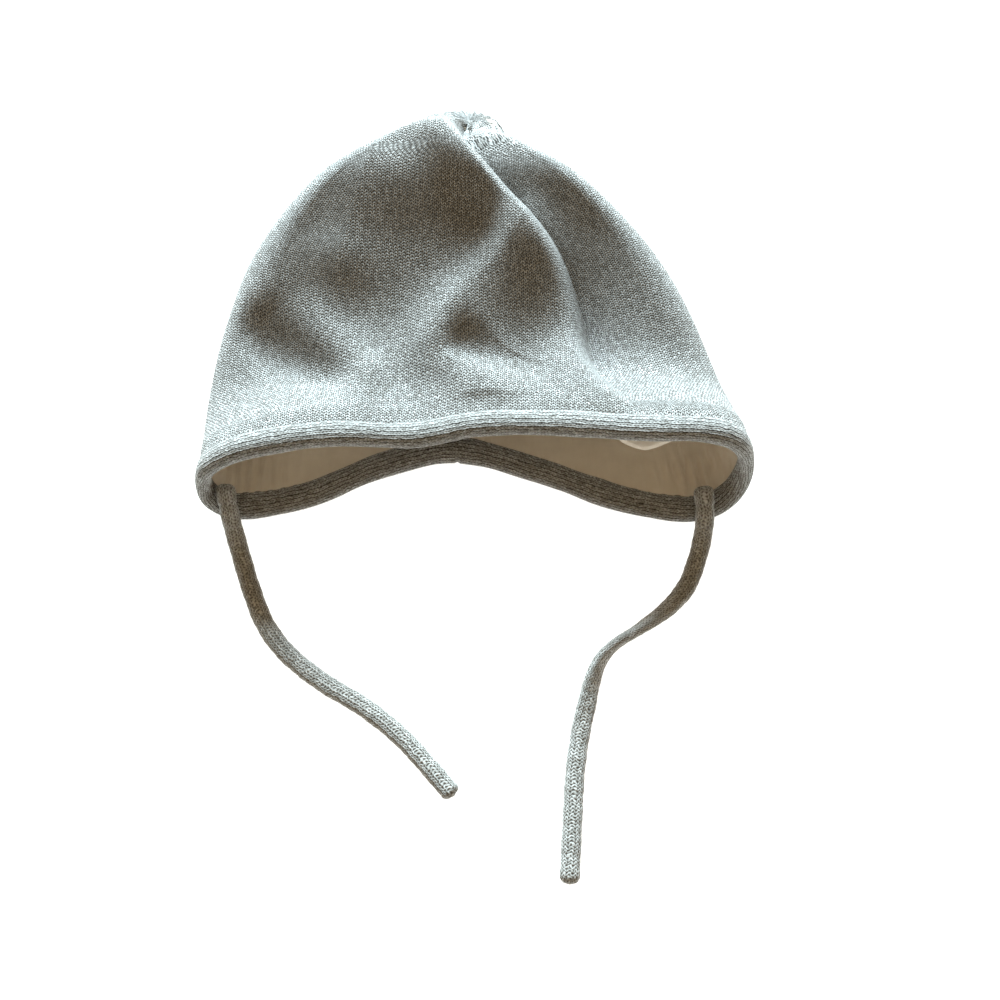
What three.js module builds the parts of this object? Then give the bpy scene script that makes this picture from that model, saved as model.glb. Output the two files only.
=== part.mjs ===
// A baby's knitted pilot cap, laid on its back on a table with its two ties spread out.
// Millimetres, +Z up, +Y towards the top of the crown, +X towards the flap on the right.
import * as THREE from 'three';

// ---- Driving sizes ----
const SHELL_WALL = 1.8; // knitted outer shell
const LINING_WALL = 1.0; // jersey lining
const GAP = 0.3; // clearance kept between neighbouring pieces
const LINING_EASE = 0.3; // slack of the lining inside the shell, over the clearance
const LINING_SET_BACK = 0.007; // share of the height by which the lining starts above the binding
const BAND_WIDTH = 9.5; // rolled rib binding, from its edge to the shell
const BAND_THICK = 5.6; // rolled rib binding, through the roll
const TIE_WIDTH = 6.4; // flat knitted cord
const TIE_THICK = 3.8;

const ROUND_LIMIT = 0.98; // largest side roll, as a share of the half width
const LEAST_WIDTH = 1e-6; // half width at the very tip
const BACK_ROUND = 20; // radius of the side roll in the layer underneath
const FRONT_ROUND = 16; // radius of the side roll in the layer on top
const EDGE_BLEND = 0.3; // share of the height over which the edge's line fades into the crown's
const CREST_FADE = 0.05; // share of the height over which the folds grow above the binding
const SIDE_FADE = 0.78; // share of the half width past which the folds die out
const SAG_FROM = 0.3; // shares of the half width between which the sag dies out towards a rim
const SAG_TO = 0.85;
const CREASE_FRONT = 12; // how far the main crease swells the front panel
const CREASE_ROLL = 8; // how far the front panel rolls over before the main crease
const CREASE_FOOT = 16; // how far the right panel sinks beside it
const CREASE_SINK = 1.2; // depth of that sink, as a share of the crest
const FOLD_SPILL = 12; // how far the other folds reach past the main crease

const BACK_COLUMNS = 13; // facets across each back quarter
const FRONT_COLUMNS = 27; // facets across each front quarter
const CREASE_COLUMN = 9; // facets from the middle of the front to the main crease
const ROWS = 22; // facets from the edge to the gathered tip
const BAND_SIDES = 10;
const FOLD_STEPS = 40;
const TIE_STEPS = 40;
const TIE_SIDES = 8;

// The cap's edge, along the middle of the binding: from the nape round the left flap, along the
// brow and round the right flap. A quarter of the cap starts at every fifth row.
const EDGE = [
  { x: -6, y: -53.5, z: 2.9 },
  { x: -32, y: -59, z: 2.9 },
  { x: -57, y: -70, z: 2.9 },
  { x: -79, y: -74.5, z: 3.4 },
  { x: -89, y: -73, z: 8 },
  { x: -91, y: -69.5, z: 16 },
  { x: -86.5, y: -66.5, z: 24 },
  { x: -73, y: -63, z: 29 },
  { x: -48, y: -58.5, z: 28 },
  { x: -21, y: -56, z: 21.5 },
  { x: 2, y: -52.5, z: 23 },
  { x: 28, y: -55, z: 29 },
  { x: 54, y: -59, z: 34 },
  { x: 76, y: -60.5, z: 35.5 },
  { x: 87, y: -62, z: 30 },
  { x: 91, y: -65.5, z: 18 },
  { x: 86.5, y: -71.5, z: 7 },
  { x: 74, y: -75.5, z: 3.2 },
  { x: 50, y: -71.5, z: 2.9 },
  { x: 22, y: -61, z: 2.9 },
];

// Cross-sections of the crown from its edge (up 0) to its gathered tip (up 1). lean tips a section
// back over the table; under, side and over are the heights of its three levels. sag is how far
// the middle of the front sinks below over, where the empty cap settles. crease is where the main
// crease runs, as a share of the way from the middle of the front to the right side, and crest is
// how high the front panel stands there.
const RINGS = [
  {
    up: 0, y: -62, lean: 0, left: -93.5, right: 89, under: 0,
    side: 15.5, over: 26, sag: 0, crease: 0.515, crest: 0,
  },
  {
    up: 0.15, y: -38, lean: 0, left: -92, right: 84, under: 0,
    side: 14, over: 19, sag: -2, crease: 0.49, crest: 4,
  },
  {
    up: 0.31, y: -12, lean: 0, left: -87.5, right: 77.5, under: 0,
    side: 14, over: 26, sag: 5.5, crease: 0.485, crest: 4.6,
  },
  {
    up: 0.47, y: 14, lean: 0, left: -79, right: 64.5, under: 0,
    side: 14, over: 34, sag: 6, crease: 0.42, crest: 4.4,
  },
  {
    up: 0.63, y: 38, lean: 0, left: -61, right: 43, under: 0,
    side: 14, over: 42, sag: 3, crease: 0.235, crest: 4.8,
  },
  {
    up: 0.76, y: 54, lean: 1.5, left: -41, right: 23, under: 0,
    side: 14, over: 40.5, sag: 0.5, crease: 0.11, crest: 5.4,
  },
  {
    up: 0.86, y: 67, lean: 8.5, left: -24.5, right: 12.5, under: 3,
    side: 16.5, over: 35.8, sag: 0, crease: 0.05, crest: 4.6,
  },
  {
    up: 0.93, y: 71.5, lean: 9, left: -17, right: 8.5, under: 11,
    side: 21.5, over: 33.5, sag: 0, crease: 0.04, crest: 2.6,
  },
  {
    up: 0.97, y: 70, lean: 6, left: -11, right: 5, under: 20,
    side: 25.5, over: 31, sag: 0, crease: 0.04, crest: 0.8,
  },
  {
    up: 1, y: 65, lean: 0, left: -2.5, right: -2.5, under: 28.5,
    side: 28.5, over: 28.5, sag: 0, crease: 0.04, crest: 0,
  },
];

// Folds of the layer on top. Each follows its path in plan; height is its crest, or its depth where
// it is negative; left and right are how far it reaches to each side of the path's direction;
// fadeIn and fadeOut are the shares of the path over which it grows and dies.
const FOLDS = [
  {
    name: 'terrace inside the curl',
    path: [
      [27, 34], [23, 27], [17.5, 18], [12, 10], [6, 3.5], [0, -2.5], [-6, -8], [-10, -14],
      [-12.5, -21], [-13.5, -29],
    ],
    height: 6.5, left: 20, right: 10, fadeIn: 0.3, fadeOut: 0.4,
  },
  {
    name: 'curl',
    path: [
      [0, -2.5], [-6, -8], [-10.5, -14], [-13, -20], [-12.5, -25.5], [-7.5, -30],
      [-0.5, -33.5], [6.5, -36.5], [13, -40], [20, -43.5], [27, -47.5],
    ],
    height: 4, left: 7, right: 10, fadeIn: 0.35, fadeOut: 0.45,
  },
  {
    name: 'left ridge',
    path: [
      [-62, -2], [-57, -10], [-50, -20], [-42, -28], [-34, -34], [-27, -40],
    ],
    height: 2.8, left: 9, right: 9, fadeIn: 0.45, fadeOut: 0.3,
  },
  {
    name: 'left valley',
    path: [
      [-84, -5], [-77, -16], [-67, -24.5], [-57, -31.5], [-46, -37], [-37, -41],
    ],
    height: -3.4, left: 10, right: 9, fadeIn: 0.25, fadeOut: 0.3,
  },
  {
    name: 'left shoulder',
    path: [
      [-40, 42], [-43, 28], [-46, 14], [-49, 0], [-50, -14],
    ],
    height: 3.6, left: 14, right: 13, fadeIn: 0.75, fadeOut: 0.5,
  },
];

// Routes of the ties' middle lines from the binding to the free end. roll is the turn of the flat
// section about its own line, in degrees.
const LEFT_TIE = [
  { x: -84.6, y: -69.5, z: 10.9, roll: -28 },
  { x: -83.6, y: -75.0, z: 10.6, roll: -28 },
  { x: -82.4, y: -80.6, z: 8.0, roll: -18 },
  { x: -80.8, y: -86.4, z: 4.2, roll: -5 },
  { x: -78.8, y: -92.8, z: 2.1, roll: 0 },
  { x: -74.9, y: -104.0, z: 2, roll: 0 },
  { x: -69.4, y: -116.5, z: 2, roll: 0 },
  { x: -61.5, y: -126.6, z: 2, roll: 0 },
  { x: -50.0, y: -135.8, z: 2, roll: 0 },
  { x: -38.0, y: -143.0, z: 2, roll: 0 },
  { x: -32.1, y: -147.1, z: 2, roll: 0 },
  { x: -26.4, y: -151.6, z: 2, roll: 0 },
  { x: -20.9, y: -156.7, z: 2, roll: 0 },
  { x: -15.8, y: -162.2, z: 2, roll: 0 },
  { x: -6.0, y: -173.4, z: 2, roll: 0 },
];
const RIGHT_TIE = [
  { x: 77.6, y: -69.6, z: 9.0, roll: 14 },
  { x: 77.8, y: -75.4, z: 9.4, roll: 14 },
  { x: 77.8, y: -81.3, z: 7.3, roll: 8 },
  { x: 77.0, y: -87.2, z: 3.8, roll: 0 },
  { x: 75.2, y: -93.6, z: 2.1, roll: 0 },
  { x: 71.2, y: -103.2, z: 2.1, roll: 8 },
  { x: 64.2, y: -111.4, z: 2.8, roll: 35 },
  { x: 54.8, y: -118.4, z: 3.4, roll: 65 },
  { x: 46.8, y: -123.6, z: 3.6, roll: 88 },
  { x: 41.8, y: -129.0, z: 3.6, roll: 110 },
  { x: 38.9, y: -135.6, z: 3.2, roll: 135 },
  { x: 36.7, y: -144.1, z: 2.6, roll: 160 },
  { x: 34.5, y: -153.6, z: 2, roll: 180 },
  { x: 32.7, y: -165.1, z: 2, roll: 180 },
  { x: 31.7, y: -178.0, z: 2, roll: 180 },
  { x: 30.9, y: -190.4, z: 2, roll: 180 },
  { x: 30.2, y: -201.0, z: 2, roll: 180 },
];

// ---- Helpers ----
function smooth(from, to, value) {
  return THREE.MathUtils.smoothstep(value, from, to);
}

function fineMaterial(color, roughness) {
  return new THREE.MeshStandardMaterial({ color, roughness, metalness: 0 });
}

// ---- The edge ----
const EDGE_DIVISIONS = 1000;
const edgeCurve = new THREE.CatmullRomCurve3(
  EDGE.map((row) => new THREE.Vector3(row.x, row.y, row.z)),
  true,
  'catmullrom',
);
edgeCurve.arcLengthDivisions = EDGE_DIVISIONS;
const edgeLengths = edgeCurve.getLengths(EDGE_DIVISIONS);
const quarterMarks = [0, 1, 2, 3, 4].map(
  (quarter) => edgeLengths[(quarter * EDGE_DIVISIONS) / 4] / edgeLengths[EDGE_DIVISIONS],
);

// Where the edge is at a share of the way around, with its direction, the direction across the
// binding towards the crown, and the direction out of the cap.
function edgeFrame(around) {
  const turn = around - Math.floor(around);
  const quarter = Math.min(3, Math.floor(turn * 4));
  const share = turn * 4 - quarter;
  const at = THREE.MathUtils.lerp(quarterMarks[quarter], quarterMarks[quarter + 1], share);
  const along = edgeCurve.getTangentAt(at);
  const inward = new THREE.Vector3(0, 1, 0).projectOnPlane(along).normalize();
  return {
    centre: edgeCurve.getPointAt(at),
    inward,
    outward: new THREE.Vector3().crossVectors(along, inward),
  };
}

// ---- The crown's form ----
function ringSlope(index, key) {
  const before = RINGS[Math.max(0, index - 1)];
  const after = RINGS[Math.min(RINGS.length - 1, index + 1)];
  return (after[key] - before[key]) / (after.up - before.up);
}

// One column of RINGS at any height, on a smooth cubic through its rows.
function ringValue(up, key) {
  let index = RINGS.findIndex((row) => row.up > up) - 1;
  if (index < 0) {
    index = RINGS.length - 2;
  }
  const low = RINGS[index];
  const high = RINGS[index + 1];
  const span = high.up - low.up;
  const f = (up - low.up) / span;
  const f2 = f * f;
  const f3 = f2 * f;
  return (
    (2 * f3 - 3 * f2 + 1) * low[key] +
    (f3 - 2 * f2 + f) * span * ringSlope(index, key) +
    (3 * f2 - 2 * f3) * high[key] +
    (f3 - f2) * span * ringSlope(index + 1, key)
  );
}

// A quarter of a section: flat from the middle, then an elliptic roll up or down to the side.
function quarterProfile(share, halfWidth, round, rise) {
  const radius = Math.min(round, halfWidth * ROUND_LIMIT);
  const flat = halfWidth - radius;
  const arc = (Math.PI / 2) * Math.sqrt((radius * radius + rise * rise) / 2);
  const run = share * (flat + arc);
  if (run <= flat) {
    return { across: run, lift: 0 };
  }
  const angle = (((run - flat) / arc) * Math.PI) / 2;
  return { across: flat + radius * Math.sin(angle), lift: rise * (1 - Math.cos(angle)) };
}

function quarterOf(around) {
  const turn = around - Math.floor(around);
  const quarter = Math.floor(turn * 4);
  const share = turn * 4 - quarter;
  return {
    fromMiddle: quarter % 2 === 0 ? share : 1 - share,
    isBack: quarter === 0 || quarter === 3,
    isLeft: quarter < 2,
  };
}

function ringPoint(around, up) {
  const { fromMiddle, isBack, isLeft } = quarterOf(around);
  const left = ringValue(up, 'left');
  const right = ringValue(up, 'right');
  const under = ringValue(up, 'under');
  const side = ringValue(up, 'side');
  const over = ringValue(up, 'over');
  const middle = (left + right) / 2;
  const halfWidth = Math.max((right - left) / 2, LEAST_WIDTH);
  const round = isBack ? BACK_ROUND : FRONT_ROUND;
  const rise = isBack ? side - under : over - side;
  const { across, lift } = quarterProfile(fromMiddle, halfWidth, round, rise);
  return new THREE.Vector3(
    middle + (isLeft ? -across : across),
    ringValue(up, 'y') + ringValue(up, 'lean') * Math.cos(2 * Math.PI * around),
    isBack ? under + lift : over - lift,
  );
}

// The outer surface before its folds: the rings, led over to the edge's own line below.
function basePoint(around, up) {
  const { centre, inward, outward } = edgeFrame(around);
  const rim = centre
    .addScaledVector(inward, BAND_WIDTH / 2 + GAP)
    .addScaledVector(outward, (SHELL_WALL + GAP + LINING_WALL) / 2);
  const shift = rim.sub(ringPoint(around, 0));
  const point = ringPoint(around, up).addScaledVector(shift, 1 - smooth(0, EDGE_BLEND, up));
  point.z = Math.max(point.z, 0);
  return point;
}

// The way out of the wall: square to the binding at the edge, and to the outer surface above it.
const NORMAL_STEP = 1e-3; // share of the way around or up between the points compared
const NORMAL_TOP = 0.995; // the tip itself has no way out of its own
function baseNormal(around, up) {
  const low = Math.max(0, up - NORMAL_STEP);
  const high = Math.min(NORMAL_TOP, up + NORMAL_STEP);
  const aroundWay = basePoint(around + NORMAL_STEP, up).sub(basePoint(around - NORMAL_STEP, up));
  const upWay = basePoint(around, high).sub(basePoint(around, low));
  const square = aroundWay.cross(upWay).normalize();
  return edgeFrame(around).outward.lerp(square, smooth(0, CREST_FADE, up)).normalize();
}

// ---- Folds ----
const foldLines = FOLDS.map((fold) => {
  const points = fold.path.map(([x, y]) => new THREE.Vector3(x, y, 0));
  const line = new THREE.CatmullRomCurve3(points, false, 'catmullrom').getPoints(FOLD_STEPS);
  return { ...fold, line };
});

function foldHeight(fold, x, y) {
  let nearest = Infinity;
  let isLeft = false;
  let along = 0;
  for (let step = 0; step < FOLD_STEPS; step += 1) {
    const from = fold.line[step];
    const runX = fold.line[step + 1].x - from.x;
    const runY = fold.line[step + 1].y - from.y;
    const dot = (x - from.x) * runX + (y - from.y) * runY;
    const share = THREE.MathUtils.clamp(dot / (runX * runX + runY * runY), 0, 1);
    const offX = x - from.x - share * runX;
    const offY = y - from.y - share * runY;
    const distance = Math.hypot(offX, offY);
    if (distance < nearest) {
      nearest = distance;
      isLeft = runX * offY - runY * offX > 0;
      along = (step + share) / FOLD_STEPS;
    }
  }
  const reach = isLeft ? fold.left : fold.right;
  const fade = smooth(0, fold.fadeIn, along) * smooth(0, fold.fadeOut, 1 - along);
  return fold.height * fade * Math.exp(-((nearest / reach) ** 2));
}

// The front panel swells beside the main crease and rolls over into it, and the right panel
// climbs slowly out of it.
function creaseHeight(up, across) {
  const crest = ringValue(up, 'crest');
  if (across < -CREASE_ROLL) {
    return crest * Math.exp(-(((across + CREASE_ROLL) / CREASE_FRONT) ** 2));
  }
  if (across < 0) {
    return crest * (1 - (1 + CREASE_SINK) * (across / CREASE_ROLL + 1) ** 2);
  }
  return -crest * CREASE_SINK * Math.exp(-across / CREASE_FOOT);
}

function reliefAt(around, up, point) {
  const { fromMiddle, isBack } = quarterOf(around);
  if (isBack) {
    return 0;
  }
  const pastCrease = point.x - basePoint(0.5 + ringValue(up, 'crease') / 4, up).x;
  let height = 0;
  foldLines.forEach((fold) => {
    height += foldHeight(fold, point.x, point.y);
  });
  height *= smooth(0, CREST_FADE, up) * Math.exp(-((Math.max(pastCrease, 0) / FOLD_SPILL) ** 2));
  height += creaseHeight(up, pastCrease);
  height -= ringValue(up, 'sag') * (1 - smooth(SAG_FROM, SAG_TO, fromMiddle));
  return height * (1 - smooth(SIDE_FADE, 1, fromMiddle));
}

// A point of the cap's wall, at a depth inside its outer surface.
function wallPoint(around, up, depth) {
  const base = basePoint(around, up);
  const relief = reliefAt(around, up, base);
  base.addScaledVector(baseNormal(around, up), -depth);
  base.z += relief;
  return base;
}

// ---- Grids and closed walls ----
const COLUMNS = 2 * BACK_COLUMNS + 2 * FRONT_COLUMNS;

// The share of the way around at which a column of facets crosses a height. One column follows the
// main crease all the way up.
function columnShare(column, up) {
  const place = ((column % COLUMNS) + COLUMNS) % COLUMNS;
  if (place < BACK_COLUMNS) {
    return place / BACK_COLUMNS / 4;
  }
  const front = place - BACK_COLUMNS;
  if (front < FRONT_COLUMNS) {
    return (1 + front / FRONT_COLUMNS) / 4;
  }
  const right = front - FRONT_COLUMNS;
  const crease = ringValue(up, 'crease');
  if (right < CREASE_COLUMN) {
    return (2 + (crease * right) / CREASE_COLUMN) / 4;
  }
  if (right < FRONT_COLUMNS) {
    const past = (right - CREASE_COLUMN) / (FRONT_COLUMNS - CREASE_COLUMN);
    return (2 + crease + (1 - crease) * past) / 4;
  }
  return (3 + (right - FRONT_COLUMNS) / BACK_COLUMNS) / 4;
}

const TIP_NORMAL = new THREE.Vector3(0, 0.4, 0.9).normalize();

// Rows of points from start, a share of the height, upwards, and the tip. Every step-th row and
// column is taken, and depthAt gives the depth for a row and column.
function wallGrid(step, start, depthAt) {
  const rows = [];
  for (let row = 0; row < ROWS; row += step) {
    const up = Math.max(start, row / ROWS);
    const points = [];
    for (let column = 0; column < COLUMNS; column += step) {
      points.push(wallPoint(columnShare(column, up), up, depthAt(row, column)));
    }
    rows.push(points);
  }
  const tip = basePoint(0, 1).addScaledVector(TIP_NORMAL, -depthAt(ROWS, 0));
  return { rows, tip };
}

// Joins an outer and an inner grid at the edge into one closed wall.
function wallGeometry(outer, inner) {
  const positions = [];
  const faces = [];
  const wide = outer.rows[0].length;
  const high = outer.rows.length;
  [outer, inner].forEach((grid) => {
    grid.rows.forEach((row) => row.forEach((point) => positions.push(point.x, point.y, point.z)));
    positions.push(grid.tip.x, grid.tip.y, grid.tip.z);
  });
  const innerStart = wide * high + 1;
  const at = (start, row, column) => start + row * wide + (column % wide);
  for (let column = 0; column < wide; column += 1) {
    for (let row = 0; row < high - 1; row += 1) {
      const corners = [[row, column], [row, column + 1], [row + 1, column + 1], [row + 1, column]];
      const [a, b, c, d] = corners.map(([r, k]) => at(0, r, k));
      const [e, f, g, h] = corners.map(([r, k]) => at(innerStart, r, k));
      faces.push(a, b, c, a, c, d, e, g, f, e, h, g);
    }
    faces.push(at(0, high - 1, column), at(0, high - 1, column + 1), wide * high);
    faces.push(at(innerStart, high - 1, column + 1), at(innerStart, high - 1, column));
    faces.push(innerStart + wide * high);
    const rimA = at(0, 0, column);
    const rimB = at(0, 0, column + 1);
    const rimC = at(innerStart, 0, column + 1);
    const rimD = at(innerStart, 0, column);
    faces.push(rimB, rimA, rimD, rimB, rimD, rimC);
  }
  const geometry = new THREE.BufferGeometry();
  geometry.setAttribute('position', new THREE.Float32BufferAttribute(positions, 3));
  geometry.setIndex(faces);
  geometry.computeVertexNormals();
  return geometry;
}

// ---- Crown ----
function makeCrown() {
  const geometry = wallGeometry(wallGrid(1, 0, () => 0), wallGrid(1, 0, () => SHELL_WALL));
  const crown = new THREE.Mesh(geometry, fineMaterial('#c3c5c4', 0.95));
  crown.name = 'crown';
  return crown;
}

// ---- Lining ----
const LINING_STEP = 2;
const SETTLING_ROUNDS = 6;

// How deep each point of the lining hangs, so that its wider facets stay clear of the shell.
function settledDepths() {
  const start = SHELL_WALL + GAP + LINING_EASE;
  const depths = new Map();
  const key = (row, column) => `${row},${column % COLUMNS}`;
  const depthAt = (row, column) => depths.get(key(row, column)) ?? start;
  const shellInside = wallGrid(1, 0, () => SHELL_WALL);
  for (let round = 0; round < SETTLING_ROUNDS; round += 1) {
    for (let row = 0; row < ROWS; row += 1) {
      const low = row - (row % LINING_STEP);
      const high = row % LINING_STEP ? low + LINING_STEP : low;
      for (let column = 0; column < COLUMNS; column += 1) {
        const back = column - (column % LINING_STEP);
        const ahead = column % LINING_STEP ? back + LINING_STEP : back;
        if (high === low && ahead === back) {
          continue;
        }
        const ends = [[low, back], [high, ahead]];
        const hung = new THREE.Vector3();
        ends.forEach(([r, k]) => {
          const end = r === ROWS
            ? basePoint(0, 1).addScaledVector(TIP_NORMAL, -start)
            : wallPoint(columnShare(k, r / ROWS), r / ROWS, depthAt(r, k));
          hung.addScaledVector(end, 0.5);
        });
        const normal = baseNormal(columnShare(column, row / ROWS), row / ROWS);
        const clear = shellInside.rows[row][column].clone().sub(hung).dot(normal);
        const short = GAP + LINING_EASE - clear;
        if (short > 0) {
          ends.forEach(([r, k]) => depths.set(key(r, k), depthAt(r, k) + short));
        }
      }
    }
  }
  return depthAt;
}

function makeLining() {
  const depthAt = settledDepths();
  const insideAt = (row, column) => depthAt(row, column) + LINING_WALL;
  const outer = wallGrid(LINING_STEP, LINING_SET_BACK, depthAt);
  const inner = wallGrid(LINING_STEP, LINING_SET_BACK, insideAt);
  const lining = new THREE.Mesh(wallGeometry(outer, inner), fineMaterial('#e9e4d6', 0.9));
  lining.name = 'lining';
  return lining;
}

// ---- Edge band ----
const SECTION_POWER = 0.8; // squareness of the roll: 1 is an ellipse

function bandSection(side) {
  const angle = (2 * Math.PI * (side + 0.5)) / BAND_SIDES;
  const bulge = (value) => Math.sign(value) * Math.abs(value) ** SECTION_POWER;
  return {
    across: (BAND_WIDTH / 2) * bulge(Math.cos(angle)),
    out: (BAND_THICK / 2) * bulge(Math.sin(angle)),
  };
}

function makeEdgeBand() {
  const positions = [];
  const faces = [];
  for (let station = 0; station < COLUMNS; station += 1) {
    const { centre, inward, outward } = edgeFrame(columnShare(station, 0));
    for (let side = 0; side < BAND_SIDES; side += 1) {
      const { across, out } = bandSection(side);
      const point = centre.clone().addScaledVector(inward, across).addScaledVector(outward, out);
      positions.push(point.x, point.y, point.z);
      const next = ((station + 1) % COLUMNS) * BAND_SIDES;
      const here = station * BAND_SIDES;
      const turn = (side + 1) % BAND_SIDES;
      faces.push(here + side, next + turn, next + side, here + side, here + turn, next + turn);
    }
  }
  const geometry = new THREE.BufferGeometry();
  geometry.setAttribute('position', new THREE.Float32BufferAttribute(positions, 3));
  geometry.setIndex(faces);
  geometry.computeVertexNormals();
  const band = new THREE.Mesh(geometry, fineMaterial('#cfd0cd', 0.95));
  band.name = 'edge_band';
  return band;
}

// ---- Ties ----
// The middle line of a flat cord whose section lies level and turns by the rows' roll.
class FlatCordLine extends THREE.CatmullRomCurve3 {
  constructor(rows) {
    super(rows.map((row) => new THREE.Vector3(row.x, row.y, row.z)), false, 'catmullrom');
    this.rolls = rows.map((row) => THREE.MathUtils.degToRad(row.roll));
  }

  rollAt(share) {
    const place = this.getUtoTmapping(share) * (this.rolls.length - 1);
    const index = Math.min(Math.floor(place), this.rolls.length - 2);
    return THREE.MathUtils.lerp(this.rolls[index], this.rolls[index + 1], place - index);
  }

  computeFrenetFrames(segments) {
    const frames = { tangents: [], normals: [], binormals: [] };
    for (let step = 0; step <= segments; step += 1) {
      const share = step / segments;
      const tangent = this.getTangentAt(share);
      const level = new THREE.Vector3(0, 0, 1).cross(tangent).normalize();
      const normal = level.applyAxisAngle(tangent, this.rollAt(share));
      frames.tangents.push(tangent);
      frames.normals.push(normal);
      frames.binormals.push(new THREE.Vector3().crossVectors(tangent, normal));
    }
    return frames;
  }
}

function tieSection() {
  const corners = [];
  for (let side = 0; side < TIE_SIDES; side += 1) {
    const angle = (2 * Math.PI * (side + 0.5)) / TIE_SIDES;
    const reach = 1 / Math.cos(Math.PI / TIE_SIDES);
    const across = (TIE_WIDTH / 2) * reach * Math.cos(angle);
    const through = (TIE_THICK / 2) * reach * Math.sin(angle);
    corners.push(new THREE.Vector2(across, through));
  }
  return new THREE.Shape(corners);
}

function makeTie(name, rows) {
  const geometry = new THREE.ExtrudeGeometry(tieSection(), {
    steps: TIE_STEPS,
    bevelEnabled: false,
    extrudePath: new FlatCordLine(rows),
  });
  const tie = new THREE.Mesh(geometry, fineMaterial('#bfc0bd', 0.95));
  tie.name = name;
  return tie;
}

// ---- Assembly ----
const cap = new THREE.Group();
cap.add(makeCrown());
cap.add(makeLining());
cap.add(makeEdgeBand());
cap.add(makeTie('tie_left', LEFT_TIE));
cap.add(makeTie('tie_right', RIGHT_TIE));

export default cap;
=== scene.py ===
"""Dresses the knitted pilot cap: its shell, lining, rolled binding and ties, with their materials,
the table it lies on, the lights and the camera. The tables of its form are in millimetres, and all
that is built is in metres, in the frame of the solids."""

import math

import bpy
import numpy as np
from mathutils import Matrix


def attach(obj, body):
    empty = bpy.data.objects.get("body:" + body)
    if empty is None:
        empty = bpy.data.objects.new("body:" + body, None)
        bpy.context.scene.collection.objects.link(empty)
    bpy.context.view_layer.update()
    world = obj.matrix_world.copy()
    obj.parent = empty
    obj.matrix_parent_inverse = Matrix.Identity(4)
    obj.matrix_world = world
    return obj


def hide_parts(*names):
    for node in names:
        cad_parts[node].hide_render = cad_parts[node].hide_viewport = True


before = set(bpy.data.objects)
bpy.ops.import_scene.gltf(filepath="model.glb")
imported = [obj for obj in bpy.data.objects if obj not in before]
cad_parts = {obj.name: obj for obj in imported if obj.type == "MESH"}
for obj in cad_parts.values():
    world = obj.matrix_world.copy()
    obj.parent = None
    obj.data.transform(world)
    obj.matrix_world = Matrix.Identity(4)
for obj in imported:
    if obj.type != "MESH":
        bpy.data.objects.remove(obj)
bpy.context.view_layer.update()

bl_info = {
    "name": "Knitted pilot cap",
    "version": (1, 0, 0),
    "blender": (4, 5, 0),
    "location": "3D View > Sidebar > Cap",
    "description": "Builds a lined, knitted infant cap over its solids",
    "category": "Object",
}

MM = 0.001


def linear(hex_colour):
    """A colour written as sRGB hex, in linear light."""
    parts = [int(hex_colour[i : i + 2], 16) / 255 for i in (1, 3, 5)]
    return tuple(c / 12.92 if c <= 0.04045 else ((c + 0.055) / 1.055) ** 2.4 for c in parts)


# ---- Sizes and colours a user would change ----


class CapSizes(bpy.types.PropertyGroup):
    """Sizes of the knit, the binding and the ties."""

    wale: bpy.props.FloatProperty(
        name="Wale", description="Width of a column of the shell's stitches", default=0.00145, unit="LENGTH"
    )
    course: bpy.props.FloatProperty(
        name="Course", description="Height of a row of the shell's stitches", default=0.00108, unit="LENGTH"
    )
    binding_width: bpy.props.FloatProperty(
        name="Binding width", description="Rolled binding, edge to shell", default=0.0095, unit="LENGTH"
    )
    binding_thickness: bpy.props.FloatProperty(
        name="Binding thickness", description="Through the rolled binding", default=0.0056, unit="LENGTH"
    )
    binding_ribs: bpy.props.IntProperty(
        name="Binding ribs", description="Fine ribs around the whole roll", default=22, min=8, max=40
    )
    rib_depth: bpy.props.FloatProperty(
        name="Rib depth", description="Depth of the grooves between the ribs", default=0.00026, unit="LENGTH"
    )
    tie_width: bpy.props.FloatProperty(
        name="Tie width", description="Flat knitted tie, across", default=0.0064, unit="LENGTH"
    )
    tie_thickness: bpy.props.FloatProperty(
        name="Tie thickness", description="Flat knitted tie, through", default=0.0038, unit="LENGTH"
    )
    stitch_depth: bpy.props.FloatProperty(
        name="Stitch depth", description="Relief of the stitches on the shell", default=0.00042, unit="LENGTH"
    )


COLOUR = {"subtype": "COLOR", "size": 3, "min": 0, "max": 1}


class CapColours(bpy.types.PropertyGroup):
    """Colours of the yarns, the lining and the table."""

    yarn_light: bpy.props.FloatVectorProperty(
        name="Light fibre", description="Pale fibres of the melange yarn", default=linear("#dcdfe0"), **COLOUR
    )
    yarn_dark: bpy.props.FloatVectorProperty(
        name="Dark fibre", description="Grey fibres of the melange yarn", default=linear("#65625b"), **COLOUR
    )
    # Painted shade: the dark colour that the yarn is drawn towards in the hollows between stitches, where
    # shade falls.
    stitch_painted_shade: bpy.props.FloatVectorProperty(
        name="Painted hollow shade", description="What shows between the stitches", default=linear("#26221c"), **COLOUR
    )
    tie_light: bpy.props.FloatVectorProperty(
        name="Light tie fibre", description="Pale fibres of the ties", default=linear("#e6e7e6"), **COLOUR
    )
    tie_dark: bpy.props.FloatVectorProperty(
        name="Dark tie fibre", description="Grey fibres of the ties", default=linear("#84827c"), **COLOUR
    )
    lining: bpy.props.FloatVectorProperty(
        name="Lining", description="Cream cotton jersey of the lining", default=linear("#ebe2d4"), **COLOUR
    )
    table: bpy.props.FloatVectorProperty(
        name="Table", description="Plain pale table", default=linear("#efece8"), **COLOUR
    )


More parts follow.
